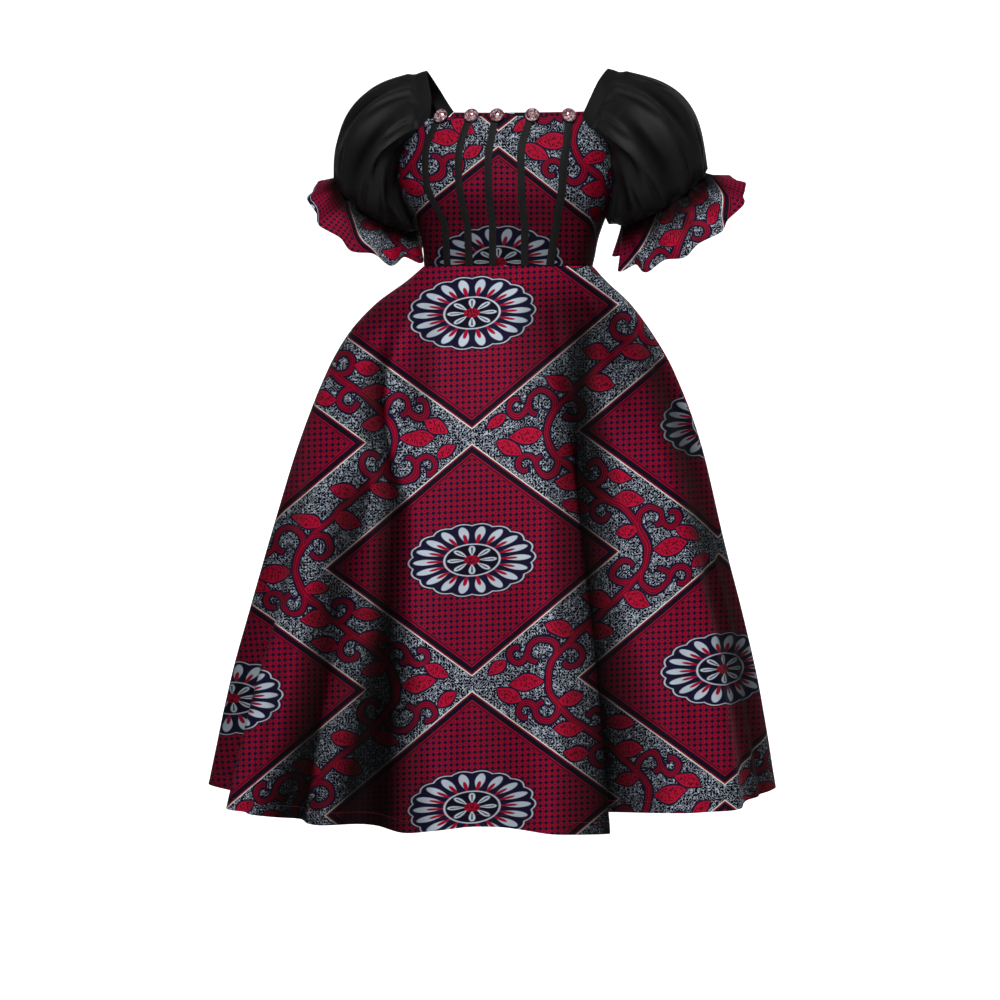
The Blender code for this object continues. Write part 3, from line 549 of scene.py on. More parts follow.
def newGroup(name, inputs, outputs):
    tree = bpy.data.node_groups.new(name, "ShaderNodeTree")
    for label, kind in inputs:
        tree.interface.new_socket(label, in_out="INPUT", socket_type="NodeSocket" + kind)
    for label, kind in outputs:
        tree.interface.new_socket(label, in_out="OUTPUT", socket_type="NodeSocket" + kind)
    return tree, tree.nodes.new("NodeGroupInput"), tree.nodes.new("NodeGroupOutput")


# The wax print, in millimetres of the cloth

wax = {
    "crimson": (0.37, 0.0035, 0.029),
    "leafCrimson": (0.52, 0.006, 0.040),
    "deepCrimson": (0.055, 0.002, 0.010),
    "navy": (0.009, 0.007, 0.032),
    "darkNavy": (0.006, 0.004, 0.014),
    "whiteBlue": (0.56, 0.64, 0.74),
    "cream": (0.90, 0.82, 0.74),
    "halfWide": 229.4,  # of a diamond
    "halfHigh": 180.6,
    "columnStep": 392.0,  # from one column of diamonds to the next
    "halfRowStep": 191.5,
    "checkWide": 9.2,
    "checkHigh": 8.9,
    "crackle": 4.6,
    "vineSwing": 78.0,
    "stem": 4.1,
    "medallionWide": 100.0,
    "medallionHigh": 57.0,
    "petals": 18,
}

# The vine winds up between two columns of diamonds. Its leaves round one turn, from the middle of
# the turn's level: place, turn in degrees, length and width
leaves = table(
    "x y turn long wide",
    (112, 3, 4, 52, 26),
    (139, 21, -29, 44, 20),
    (158, -22, 35, 34, 16),
    (46, 31, 8, 38, 19),
    (45, 78, -5, 46, 23),
    (-1, -72, -15, 46, 23),
    (60, -76, -20, 46, 22),
    (-33, 74, -10, 42, 20),
)
# and its curls: centre, radius at the root and at the tip, the root's direction and its hand
curls = table(
    "x y outer inner root hand",
    (90.9, -43.4, 26, 12, 148.8, 1),
    (82.7, 48.8, 22, 10, 215.5, -1),
    (126.3, -43.4, 17, 8, 180, -1),
    (114.1, 48.8, 16, 7.5, 180, 1),
    (40.3, -31.5, 22, 10, -41.2, -1),
    (7.4, 64.4, 20, 9, 51, 1),
)


def waxPrintGroup():
    tree, given, out = newGroup("waxPrint", [("Cloth", "Vector")], [("Color", "Color")])
    x, y = partsOf(tree, given.outputs["Cloth"], 1000.0)
    flat = vectorOf(tree, x, y)
    # the nearest diamond
    columns, rows = x / wax["columnStep"], y / wax["halfRowStep"]
    s = ((columns + rows) * 0.5).math("ROUND")
    t = ((columns - rows) * 0.5).math("ROUND")
    dx = x - (s + t) * wax["columnStep"]
    dy = y - (s - t) * wax["halfRowStep"]
    ax, ay = abs(dx), abs(dy)
    norm = math.hypot(1 / wax["halfWide"], 1 / wax["halfHigh"])
    reach = (ax / wax["halfWide"] + ay / wax["halfHigh"] - 1.0) * (1 / norm)

    # the vine's own place: each turn is the last one's, turned half round
    wobble = partsOf(tree, noiseOf(tree, flat, 0.020, 1.0, "2D", colour=True))
    wx, wy = x + (wobble[0] - 0.5) * 12.0, y + (wobble[1] - 0.5) * 12.0
    column = ((wx - wax["columnStep"] / 2) / wax["columnStep"]).math("ROUND")
    row = (wy / wax["halfRowStep"]).math("ROUND")
    flip = ((column + row) * math.pi).math("COSINE")
    u = (wx - wax["columnStep"] / 2 - column * wax["columnStep"]) * flip
    v = (wy - row * wax["halfRowStep"]) * flip
    turning = v * (math.pi / wax["halfRowStep"])
    lean = turning.math("SINE") * (wax["vineSwing"] * math.pi / wax["halfRowStep"])
    steep = (lean * lean + 1.0).math("SQRT")
    stems = abs(u - turning.math("COSINE") * wax["vineSwing"]) / steep - wax["stem"]
    for curl in rowsOf(curls):
        root = math.radians(curl["root"])
        du, dv = u - curl["x"], v - curl["y"]
        p = du.along(dv, -math.cos(root), -math.sin(root))
        q = du.along(dv, math.sin(root) * curl["hand"], -math.cos(root) * curl["hand"])
        turned = q.math("ARCTAN2", p)
        away = (du * du + dv * dv).math("SQRT")
        tighter = (curl["inner"] - curl["outer"]) / (2 * math.pi)
        radius = turned * tighter + (curl["outer"] + curl["inner"]) / 2
        stroke = abs(away - radius) + turned * 0.18 - 3.3
        end = q.smaller(p * -1.0 - curl["inner"] * 0.35)
        stems = stems.smaller(stroke.larger(end))
    leafShapes = None
    for leaf in rowsOf(leaves):
        lean = math.radians(leaf["turn"])
        du, dv = u - leaf["x"], v - leaf["y"]
        a = du.along(dv, math.cos(lean), math.sin(lean)) * (2 / leaf["long"])
        b = abs(dv.along(du, math.cos(lean), -math.sin(lean)))
        shape = b + (a * a - 1.0) * (leaf["wide"] / 2)
        leafShapes = shape if leafShapes is None else leafShapes.smaller(shape)
    vine = stems.smaller(leafShapes)

    crackle = noiseOf(tree, flat, 1 / wax["crackle"], 1.2, "2D")
    worm = (abs(crackle - 0.5) - 0.036) * 34.0
    colour = mixed(tree, worm.inside(1.1), wax["darkNavy"], wax["whiteBlue"])
    colour = mixed(tree, (vine - 3.3).inside(1.2), colour, wax["navy"])
    colour = mixed(tree, stems.inside(), colour, wax["crimson"])
    colour = mixed(tree, (abs(stems + 2.0) - 0.60).inside(0.7), colour, wax["deepCrimson"])
    leafOnly = (leafShapes - 0.4).inside() * (stems + 0.4).math("GREATER_THAN", 0.0)
    colour = mixed(tree, leafOnly, colour, wax["leafCrimson"])
    fleck = noiseOf(tree, vectorOf(tree, x + y * 0.45, y * 0.5 - x * 0.2), 0.40, 0.0, "2D")
    inLeaf = (leafShapes + 1.6).inside() * (stems - 0.5).math("GREATER_THAN", 0.0)
    inLeaf = inLeaf * ((fleck - 0.52) * 12.0).math("ADD", 0.0, clamp=True)
    colour = mixed(tree, inLeaf * 0.85, colour, wax["deepCrimson"])

    # inside a diamond: its border lines, the small check and the medallion
    px = abs((x / wax["checkWide"]).math("FRACT") - 0.5)
    py = abs((y / wax["checkHigh"]).math("FRACT") - 0.5)
    dots = (px.larger(py) + (px + py) * 0.35 - 0.440).inside(0.12)
    small = (px * -1.0 - py + 0.800).inside(0.08)
    bars = (px.smaller(py) - 0.105).inside(0.10)
    check = mixed(tree, bars * 0.65, wax["crimson"], wax["deepCrimson"])
    check = mixed(tree, dots.larger(small * 0.8), check, wax["navy"])
    bands = [
        (0.000, "cream"), (0.080, "darkNavy"), (0.125, "crimson"), (0.185, "darkNavy"),
        (0.560, "crimson"), (0.650, "darkNavy"), (0.740, "crimson"), (0.790, "darkNavy"),
    ]
    border = rampOf(tree, (reach * (-1 / 20)).socket, [(place, wax[name]) for place, name in bands])
    border.color_ramp.interpolation = "CONSTANT"
    marks = ((x + y * 0.3) * 0.55).math("SINE") * ((x - y * 0.8) * 0.33).math("SINE")
    marks = (abs(reach + 7.4) - 2.6).inside() * marks.math("GREATER_THAN", 0.25)
    inner = mixed(tree, (reach + 16.0).inside(), Wire(tree, border.outputs["Color"]), check)
    inner = mixed(tree, marks * 0.55, inner, wax["navy"])

    # the medallion, an oval flower with petals all round
    ex, ey = dx / wax["medallionWide"], dy / wax["medallionHigh"]
    radius = (ex * ex + ey * ey).math("SQRT")
    angle = ey.math("ARCTAN2", ex)
    petal = (angle * wax["petals"]).math("COSINE")
    scallop = radius - abs((angle * (wax["petals"] / 2)).math("COSINE")) * 0.055 - 0.930
    belly = (radius - 0.70) * (1 / 0.215)
    heart = (radius - 0.56) * (1 / 0.17)
    bud = (radius - 0.25) * (1 / 0.145)
    innerPetal = (angle * 8.0).math("COSINE")
    veins = (abs(innerPetal - 1.0) - 0.06).inside(0.05) * (abs(radius - 0.25) - 0.09).inside(0.02)
    seeds = (radius - 0.105).inside(0.02) * ((fleck - 0.5) * 10.0).math("ADD", 0.0, clamp=True)
    flower = inner
    for covered, name in (
        ((scallop - 0.045).inside(0.02), "deepCrimson"),
        ((scallop - 0.012).inside(0.015), "whiteBlue"),
        ((scallop + 0.012).inside(0.015), "navy"),
        ((belly * belly * 1.05 - petal * 0.75 - 0.25).inside(0.25), "whiteBlue"),
        ((heart * heart - petal * 1.5 + 0.75).inside(0.25), "crimson"),
        ((radius - 0.445).inside(0.015), "whiteBlue"),
        ((radius - 0.415).inside(0.015), "darkNavy"),
        ((bud * bud - innerPetal * 0.9 + 0.05).inside(0.25), "whiteBlue"),
        (veins, "navy"),
        ((radius - 0.125).inside(0.02), "crimson"),
        (seeds, "deepCrimson"),
    ):
        flower = mixed(tree, covered, flower, wax[name])
    colour = mixed(tree, reach.inside(), colour, flower)
    tree.links.new(colour.socket, out.inputs["Color"])
    return tree


# A plain weave's small hills, uneven yarns and long slow dips, shared by all the cloth

def weaveGroup():
    tree, given, out = newGroup(
        "weave",
        [("Cloth", "Vector"), ("Yarn", "Float"), ("Slub", "Float")],
        [("Height", "Float"), ("Uneven", "Float")],
    )
    x, y = partsOf(tree, given.outputs["Cloth"], 1000.0)
    yarn = Wire(tree, given.outputs["Yarn"])
    over = (x * (2 * math.pi)).math("DIVIDE", yarn).math("SINE")
    under = (y * (2 * math.pi)).math("DIVIDE", yarn).math("SINE")
    flat = vectorOf(tree, x * 0.25, y)
    slub = noiseOf(tree, flat, 1.1, 2.0, "2D")
    slow = noiseOf(tree, vectorOf(tree, x, y), 0.045, 2.0, "2D")
    height = over * under * 0.35 + slub * Wire(tree, given.outputs["Slub"]) + slow * 2.0
    tree.links.new(height.socket, out.inputs["Height"])
    tree.links.new(slow.socket, out.inputs["Uneven"])
    return tree


waxPrint, weave = waxPrintGroup(), weaveGroup()


def newMaterial(name, **sockets):
    made = bpy.data.materials.new(name)
    made.use_nodes = True
    shader = made.node_tree.nodes["Principled BSDF"]
    for label, value in sockets.items():
        shader.inputs[label.replace("_", " ")].default_value = value
    return made, made.node_tree, shader


def clothMaterial(name, strength, yarn, slub, rough, **sockets):
    made, tree, shader = newMaterial(name, **sockets)
    cloth = tree.nodes.new("ShaderNodeUVMap")
    cloth.uv_map = "cloth"
    group = tree.nodes.new("ShaderNodeGroup")
    group.node_tree = weave
    tree.links.new(cloth.outputs["UV"], group.inputs["Cloth"])
    group.inputs["Yarn"].default_value = yarn
    group.inputs["Slub"].default_value = slub
    hills = tree.nodes.new("ShaderNodeBump")
    hills.inputs["Strength"].default_value = strength
    hills.inputs["Distance"].default_value = 0.0004
    tree.links.new(group.outputs["Height"], hills.inputs["Height"])
    tree.links.new(hills.outputs["Normal"], shader.inputs["Normal"])
    roughness = Wire(tree, group.outputs["Uneven"]) * rough[1] + (rough[0] - rough[1] / 2)
    tree.links.new(roughness.socket, shader.inputs["Roughness"])
    return made, tree, shader, cloth, group


def withPaintedShade(tree, colour, share):
    # painted shade: the colour darkened by the crease attribute, deep in folds and where shadows fall
    crease = tree.nodes.new("ShaderNodeAttribute")
    crease.attribute_name = "crease"
    return multiplied(tree, colour, Wire(tree, crease.outputs["Fac"]) * -share + 1.0)


def waxMaterial():
    made, tree, shader, cloth, group = clothMaterial(
        "wax print cotton", 0.35, 0.9, 0.6, (0.66, 0.14),
        Specular_IOR_Level=0.07,
    )
    pattern = tree.nodes.new("ShaderNodeGroup")
    pattern.node_tree = waxPrint
    tree.links.new(cloth.outputs["UV"], pattern.inputs["Cloth"])
    worn = multiplied(tree, pattern.outputs["Color"], Wire(tree, group.outputs["Uneven"]) * 0.16 + 0.92)
    tree.links.new(withPaintedShade(tree, worn, 0.97), shader.inputs["Base Color"])
    return made


def blackMaterial(name, colour, rough, sheen):
    made, tree, shader, _, group = clothMaterial(
        name, 0.25, 0.7, 0.5, rough,
        Specular_IOR_Level=0.13, Sheen_Weight=sheen, Sheen_Roughness=0.35, Sheen_Tint=(0.7, 0.72, 0.8, 1),
    )
    uneven = Wire(tree, group.outputs["Uneven"])
    tint = mixed(tree, uneven, colour, tuple(c * 1.6 for c in colour))
    tree.links.new(withPaintedShade(tree, tint.socket, 0.80), shader.inputs["Base Color"])
    return made


waxCotton = waxMaterial()
blackCotton = blackMaterial("black cotton satin", (0.0092, 0.0092, 0.0100), (0.48, 0.10), 0.01)
blackTape = blackMaterial("black tape", (0.0075, 0.0075, 0.0080), (0.62, 0.10), 0.004)
print("stage: cloth materials made")


# The print is laid as the photograph has it: level, with its diamonds' edges straight across the
# whole front, and never squeezed past leastShare of the cloth toward the sides

printLay = {
    "leastShare": 0.58,
    "lean": 0.058,  # how far the skirt's print drops toward the wearer's right
    "turn": (-56.0, 58.0, 22.0),  # where the sides begin, in degrees, and how soon
    "skirtMiddle": (472.0, 560.0),  # the middle of a diamond, in the photograph's pixels
    "bodiceMiddle": (498.5, 262.0),
    "backScale": 1.05,
    "backMiddle": (0.020, -0.640),
    "bodiceBackShift": (0.013, 0.135),
}


def pictureUv(points):
    away = points - cameraPlace
    scale = picture["focal"] * picture["metresPerPixel"]
    return np.stack([away @ lookRight, away @ lookUp], axis=-1) / (away @ lookAlong)[..., None] * scale


def frontUv(points, middle, smooth=None, least=1.0):
    # straight over the folds, as seen from the front, and no narrower than the cloth allows at the sides
    uv = pictureUv(points)
    half, each = picture["side"] / 2, picture["metresPerPixel"]
    u, v = uv[..., 0] - (middle[0] - half) * each, uv[..., 1] - (half - middle[1]) * each
    start = u.shape[1] // 2
    left = np.minimum.accumulate(u[:, start::-1], axis=1)[:, :0:-1]
    u = np.concatenate([left, np.maximum.accumulate(u[:, start:], axis=1)], axis=1)
    run = np.linalg.norm(np.diff(points if smooth is None else smooth, axis=1), axis=-1)
    step = np.maximum(np.diff(u, axis=1), run * printLay["leastShare"] * least)
    laid = running(step)
    laid += (u[:, start] - laid[:, start])[:, None]
    return np.stack([laid, v if smooth is None else v - laid * printLay["lean"]], axis=-1)


def backUv(points, sign):
    # from the centre back seam outward, as seen from behind
    u = -points[..., 0] * printLay["backScale"]
    run = np.linalg.norm(np.diff(points, axis=1), axis=-1)
    step = np.maximum(np.abs(np.diff(u, axis=1)), run * printLay["leastShare"])
    laid = running(step)
    laid = u[:, -1:] - sign * (laid[:, -1:] - laid)
    v = points[..., 2] * printLay["backScale"]
    x, y = printLay["backMiddle"]
    return np.stack([laid - x, v - y], axis=-1)


def finishCloth(piece, node):
    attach(piece, "dress")
    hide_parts(node)
    return piece


# Bodice

bodice = {"frontColumns": 170, "backColumns": 84, "rows": 54, "bustPull": 0.0016, "waistPull": 0.0012}


def bodiceHeights(angles, top):
    share = np.linspace(0, 1, bodice["rows"] + 1)[:, None]
    bottom = dress["waistZ"] + dress["seam"] / 2
    return bottom + (top(angles)[None, :] - bottom) * share


def bodicePoint(angle, z):
    # the torso with faint drag lines that fan out from the bust to the waist and the armholes
    point = torsoPoint(angle, z)
    middle = torsoPoint(angle, z) * np.array([0, 0, 1]) + np.array([-0.008, -0.018, 0])
    off = unit(point - middle)
    low = smoothStep((-0.20 - z) / 0.05) * smoothStep((z + 0.300) / 0.02)
    lift = bodice["waistPull"] * low * np.cos(np.radians(angle * 11 + 60 * np.sin(np.radians(angle * 2))))
    around = wrapped(angle)
    high = bump((z + 0.165) / 0.045) * smoothStep((np.abs(around) - 48) / 14) * bump(around / 130)
    lift = lift + bodice["bustPull"] * high * np.cos(z * 210 + np.radians(np.abs(around)) * 9)
    return point + off * np.asarray(lift)[..., None]


side = 90 - dress["sideGap"]
third = bodice["frontColumns"] // 3
sideColumns = evenSteps(lambda a: torsoPoint(a, frontTop(a)), 40, side, third)
frontColumns = np.concatenate([-sideColumns[:0:-1], np.linspace(-40, 40, third + 1), sideColumns[1:]])
angles, heights = np.broadcast_arrays(frontColumns, bodiceHeights(frontColumns, frontTop))
points = bodicePoint(angles, heights)
# painted shade on the bodice's colour: darker toward the waist and toward the sides
shade = 0.22 + 0.40 * smoothStep((-0.165 - heights) / 0.06)
shade += 0.30 * smoothStep((np.abs(angles - 4) - 30) / 45)
piece = clothShell(
    "bodiceFront", points, normalOf(torsoPoint, angles, heights), dress["cloth"],
    frontUv(torsoPoint(angles, heights), printLay["bodiceMiddle"]), waxCotton, shade=shade,
)
finishCloth(piece, "bodice_front")

for name, sign in (("Left", 1), ("Right", -1)):
    half = 180 - evenSteps(
        lambda a: torsoPoint(180 - a, backTop(180 - a)), dress["sideGap"], side, bodice["backColumns"]
    )
    angles, heights = np.broadcast_arrays(sign * half[::-1], bodiceHeights(half[::-1], backTop))
    points = bodicePoint(angles, heights)
    piece = clothShell(
        "bodiceBack" + name, points, normalOf(torsoPoint, angles, heights), dress["cloth"],
        backUv(torsoPoint(angles, heights), sign) + np.array(printLay["bodiceBackShift"]), waxCotton,
    )
    finishCloth(piece, "bodice_back_" + name.lower())
print("stage: bodice made")


# Skirt

skirtMake = {
    "frontColumns": 250,
    "backColumns": 130,
    "rows": 150,
    "mouthTop": -0.375,  # of a pocket's slit in the side seam
    "mouthEnd": -0.525,
    "mouthAngle": 3.2,
    "hemStitch": 0.017,  # above the hem
}


def mouthReach(z):
    top, end = skirtMake["mouthTop"], skirtMake["mouthEnd"]
    t = (z - (top + end) / 2) / ((top - end) / 2)
    return dress["sideGap"] + skirtMake["mouthAngle"] * np.sqrt(np.clip(1 - t * t, 0, 1))


def dropped(z, angle):
    down = ((z - dress["waistZ"]) / (dress["hemZ"] - dress["waistZ"])) ** 3
    return z - read(hemDrop, "angle", "drop", wrapped(angle)) * down


def hemCurve(angle):
    return skirtPoint(angle, np.full(np.shape(angle), dress["hemZ"]))


def inAndUp(angle, z):
    # the waist's seam allowance, inside the bodice
    return np.array([0, 0, 0.003]) - normalOf(skirtPoint, angle, z) * 0.0025


def skirtPanel(name, node, angles, uvOf):
    angles, heights = np.broadcast_arrays(angles, dropped(levels, angles))
    points = skirtPoint(angles, heights)
    points[0] += inAndUp(angles[0], heights[0])
    piece = clothShell(
        name, points, normalOf(skirtPoint, angles, heights), dress["cloth"],
        uvOf(angles, points, sectionPoint(skirt, angles, heights)), waxCotton,
        shade=skirtPoint(angles, heights, True),
    )
    finishCloth(piece, node)
    return angles, heights


def skirtFrontUv(angles, points, smooth):
    turnLeft, turnRight, soon = printLay["turn"]
    least = smoothStep((np.maximum(turnLeft - angles, angles - turnRight) / soon)[:, 1:])
    return frontUv(points, printLay["skirtMiddle"], smooth, least)


share = np.linspace(0, 1, skirtMake["rows"])[:, None]
topLevel = dress["waistZ"] - dress["seam"] / 2
levels = topLevel + (dress["hemZ"] - dress["waistZ"] + dress["seam"] / 2) * share**1.15
across = evenSteps(hemCurve, -90, 90, skirtMake["frontColumns"])[None, :]
angles = across * (90 - mouthReach(levels)) / 90
skirtPanel("skirtFront", "skirt_front", angles, skirtFrontUv)
stitched = np.full(across.shape[1], dress["hemZ"] + skirtMake["hemStitch"])
hemLines = [skirtPoint(across[0], dropped(stitched, across[0]))]
for name, sign in (("Left", 1), ("Right", -1)):
    part = evenSteps(lambda a: hemCurve(sign * a), 90, 180, skirtMake["backColumns"])
    part = (part[None, :] - 90) / 90
    start = 90 + mouthReach(levels)
    angles, heights = skirtPanel(
        "skirtBack" + name, "skirt_back_" + name.lower(),
        sign * (start + (180 - dress["sideGap"] / 2 - start) * part),
        lambda angles, points, smooth: backUv(smooth, sign),
    )
    hemLines.append(skirtPoint(angles[-1], heights[-1] + skirtMake["hemStitch"]))
print("stage: skirt made")


# Straps and sleeves

sleeveSizes = {
    "left": dict(
        sign=1, cuffX=0.226, cuffZ=-0.198, cuffLong=0.0745, cuffDeep=0.068, tilt=30, lean=15,
        hemX=0.252, hemZ=-0.234, hemLong=0.113, hemDeep=0.102, hemTilt=30, hemLean=29, waves=11, wavePhase=20,
        ruffleCut=(0.68, 0.056),
    ),
    "right": dict(
        sign=-1, cuffX=0.219, cuffZ=-0.203, cuffLong=0.0745, cuffDeep=0.068, tilt=34, lean=15,
        hemX=0.234, hemZ=-0.229, hemLong=0.101, hemDeep=0.098, hemTilt=33, hemLean=25, waves=10, wavePhase=75,
        ruffleCut=(0.64, 0.045),
    ),
}
puff = table(
    "angle rise start turnIn end",
    (0, 14, 0.290, 30, 0.300),
    (45, 40, 0.260, 45, 0.270),
    (90, 58, 0.220, 58, 0.230),
    (140, 62, 0.130, 58, 0.130),
    (180, 60, 0.070, 55, 0.060),
    (220, 62, 0.130, 58, 0.130),
    (270, 58, 0.220, 58, 0.230),
    (315, 40, 0.260, 45, 0.270),
    (360, 14, 0.290, 30, 0.300),
)
puffMake = {"rows": 84, "strapSteps": 52, "armholeSteps": 64, "gathers": 12, "gatherDepth": 0.0042}

# Troughs of a puff: angle round the arm at the armhole and at the cuff (0 on the shoulder, 90 in
# front), the stretch between them, depth and reach in degrees. The first seven are its solid's
puffFolds = table(
    "topAngle cuffAngle start end depth reach",
    (20, 42, 0.02, 0.80, 0.010, 13),
    (52, 72, 0.05, 0.95, 0.013, 14),
    (84, 100, 0.00, 0.70, 0.009, 13),
    (112, 128, 0.20, 1.00, 0.010, 14),
    (250, 262, 0.05, 0.90, 0.012, 14),
    (288, 300, 0.10, 1.00, 0.011, 13),
    (325, 318, 0.00, 0.75, 0.010, 13),
    (36, 60, 0.00, 0.45, 0.0050, 5),
    (66, 80, 0.02, 0.38, 0.0045, 4),
    (74, 92, 0.55, 1.00, 0.0050, 5),
    (44, 52, 0.62, 1.00, 0.0045, 5),
    (98, 112, 0.50, 1.00, 0.0045, 4),
    (8, 16, 0.00, 0.36, 0.0050, 4),
    (14, 24, 0.60, 1.00, 0.0045, 5),
    (346, 340, 0.00, 0.42, 0.0050, 5),
    (306, 296, 0.58, 1.00, 0.0045, 5),
    (274, 284, 0.00, 0.40, 0.0045, 5),
    (266, 250, 0.60, 1.00, 0.0045, 5),
    (236, 244, 0.05, 0.50, 0.0040, 5),
    (150, 156, 0.10, 0.90, 0.0040, 6),
    (206, 200, 0.10, 0.90, 0.0040, 6),
)


def strapEdges(sign, steps):
    edges = []
    for edge, frontAngle, backAngle in (("inner", 40, 38), ("outer", 46, 44)):
        front = torsoPoint(sign * frontAngle, frontTop(frontAngle))
        back = torsoPoint(sign * (180 - backAngle), backTop(180 - backAngle))
        middle = np.stack([strap[edge + axis] for axis in "XYZ"], axis=-1)
        middle[:, 0] *= sign
        points = np.concatenate([[front], middle, [back]])
        run = running(np.linalg.norm(np.diff(points, axis=0), axis=1))
        rows = dict(run=run / run[-1], x=points[:, 0], y=points[:, 1], z=points[:, 2])

        def curve(t, rows=rows):
            return np.stack([read(rows, "run", axis, t) for axis in "xyz"], axis=-1)

        edges.append(curve(evenSteps(curve, 0, 1, 2 * steps)))
    return edges


def armhole(sign):
    steps, parts = puffMake["strapSteps"], puffMake["armholeSteps"]
    inner, outer = strapEdges(sign, steps)
    frontArm = evenSteps(lambda a: torsoPoint(a, frontTop(a)), 46, 90, parts)
    backArm = evenSteps(lambda a: torsoPoint(180 - a, backTop(180 - a)), 44, 90, parts)
    front = torsoPoint(sign * frontArm, frontTop(frontArm))
    back = torsoPoint(sign * (180 - backArm), backTop(180 - backArm))
    loop = np.concatenate([outer[steps:0:-1], front, back[-2::-1], outer[-2:steps:-1]])
    frontNormals = normalOf(torsoPoint, sign * frontArm, frontTop(frontArm))
    backNormals = normalOf(torsoPoint, sign * (180 - backArm), backTop(180 - backArm))
    up = unit(np.cross(inner - outer, np.gradient(outer, axis=0)))
    up *= np.sign(up[:, 2:3])
    normals = np.concatenate([up[steps:0:-1], frontNormals, backNormals[-2::-1], up[-2:steps:-1]])
    edge = unit(np.roll(loop, -1, axis=0) - np.roll(loop, 1, axis=0))
    off = unit(np.cross(edge, normals))
    off *= np.sign(off @ np.array([sign, 0, 0.6]))[:, None]
    return loop, off


def ring(sizes, which, angle):
    sign = sizes["sign"]
    centre = np.array([sign * sizes[which + "X"], 0.004 if which == "cuff" else 0.006, sizes[which + "Z"]])
    long, deep = sizes[which + "Long"], sizes[which + "Deep"]
    tilt = math.radians(sizes["tilt" if which == "cuff" else "hemTilt"])
    lean = math.radians(sizes["lean" if which == "cuff" else "hemLean"])
    outer = np.array([sign * math.cos(tilt), 0, math.sin(tilt)])
    down = np.array([sign * math.sin(tilt), 0, -math.cos(tilt)])
    front = np.array([0, -math.cos(lean), 0]) + down * math.sin(lean)
    turn = np.radians(angle)[..., None]
    radial = outer * long * np.cos(turn) + front * deep * np.sin(turn)
    return centre + radial, unit(radial)


def wayDownArm(sizes):
    tilt = math.radians(sizes["tilt"])
    return unit(np.array([sizes["sign"] * math.sin(tilt), 0.22, -math.cos(tilt)]))


def puffGrid(sizes):
    sign = sizes["sign"]
    loop, off = armhole(sign)
    run = np.linalg.norm(loop - np.roll(loop, 1, axis=0), axis=1)
    run[0] = 0
    run = np.cumsum(run)
    half = puffMake["strapSteps"] + puffMake["armholeSteps"]
    total = run[-1] + np.linalg.norm(loop[0] - loop[-1])
    later = 180 + 180 * (run - run[half]) / (total - run[half])
    angle = np.where(run <= run[half], 180 * run / run[half], later)
    cuff, _ = ring(sizes, "cuff", angle)
    armAxis = unit(np.array([sign * 0.93, 0.05, -0.36]))
    cuffAxis = wayDownArm(sizes)
    away = loop - loop.mean(axis=0)
    away = unit(away - (away @ armAxis)[:, None] * armAxis)
    out = cuff - ring(sizes, "cuff", np.linspace(0, 350, 36))[0].mean(axis=0)
    out = unit(out - (out @ cuffAxis)[:, None] * cuffAxis)
    rise = np.radians(read(puff, "angle", "rise", angle))[:, None]
    turnIn = np.radians(read(puff, "angle", "turnIn", angle))[:, None]
    leave = armAxis * np.cos(rise) + away * np.sin(rise)
    arrive = cuffAxis * np.cos(turnIn) - out * np.sin(turnIn)
    start = loop + unit(off + leave) * dress["seam"] * 0.5
    end = cuff - cuffAxis * dress["seam"] / 2
    v = np.linspace(0, 1, puffMake["rows"])[:, None, None]
    v = v - 0.45 * np.sin(2 * math.pi * v) / (2 * math.pi)
    first = read(puff, "angle", "start", angle)[:, None] * leave
    last = read(puff, "angle", "end", angle)[:, None] * arrive
    points = cubic(start, first, end, last, v)
    normals = outward(points, points.mean(axis=(0, 1)))
    rows = v[:, :, 0]
    nearEnds = np.exp(-rows / 0.10) + np.exp(-(1 - rows) / 0.10)
    sewn = smoothStep(rows / 0.05) * smoothStep((1 - rows) / 0.03)
    gathers = np.cos(np.radians(puffMake["gathers"] * angle))[None, :]
    lift = puffMake["gatherDepth"] * nearEnds * sewn * gathers
    fine = np.exp(-rows / 0.045) + np.exp(-(1 - rows) / 0.05)
    unevenly = np.radians(34 * angle + 70 * np.sin(np.radians(3 * angle)) + 25 * sign)
    lift = lift + 0.0011 * fine * sewn * np.cos(unevenly)[None, :]
    # painted shade: the puff's colour darker toward the cuff and deep in each trough
    shade = 0.55 * smoothStep((rows - 0.86) / 0.14) * np.ones(len(angle))
    for fold in rowsOf(puffFolds):
        centre = fold["topAngle"] + (fold["cuffAngle"] - fold["topAngle"]) * rows
        offLine = wrapped(angle[None, :] - centre)
        middle = (fold["start"] + fold["end"]) / 2
        stretch = bump((rows - middle) / (fold["end"] - fold["start"]) * 1.7)
        trough = stretch * bump(offLine / fold["reach"]) * smoothStep(rows / 0.1)
        lift -= fold["depth"] * trough
        shade = np.maximum(shade, trough * min(1.0, fold["depth"] * 85))
    return points + normals * lift[..., None] * sewn[..., None], normals, angle, shade


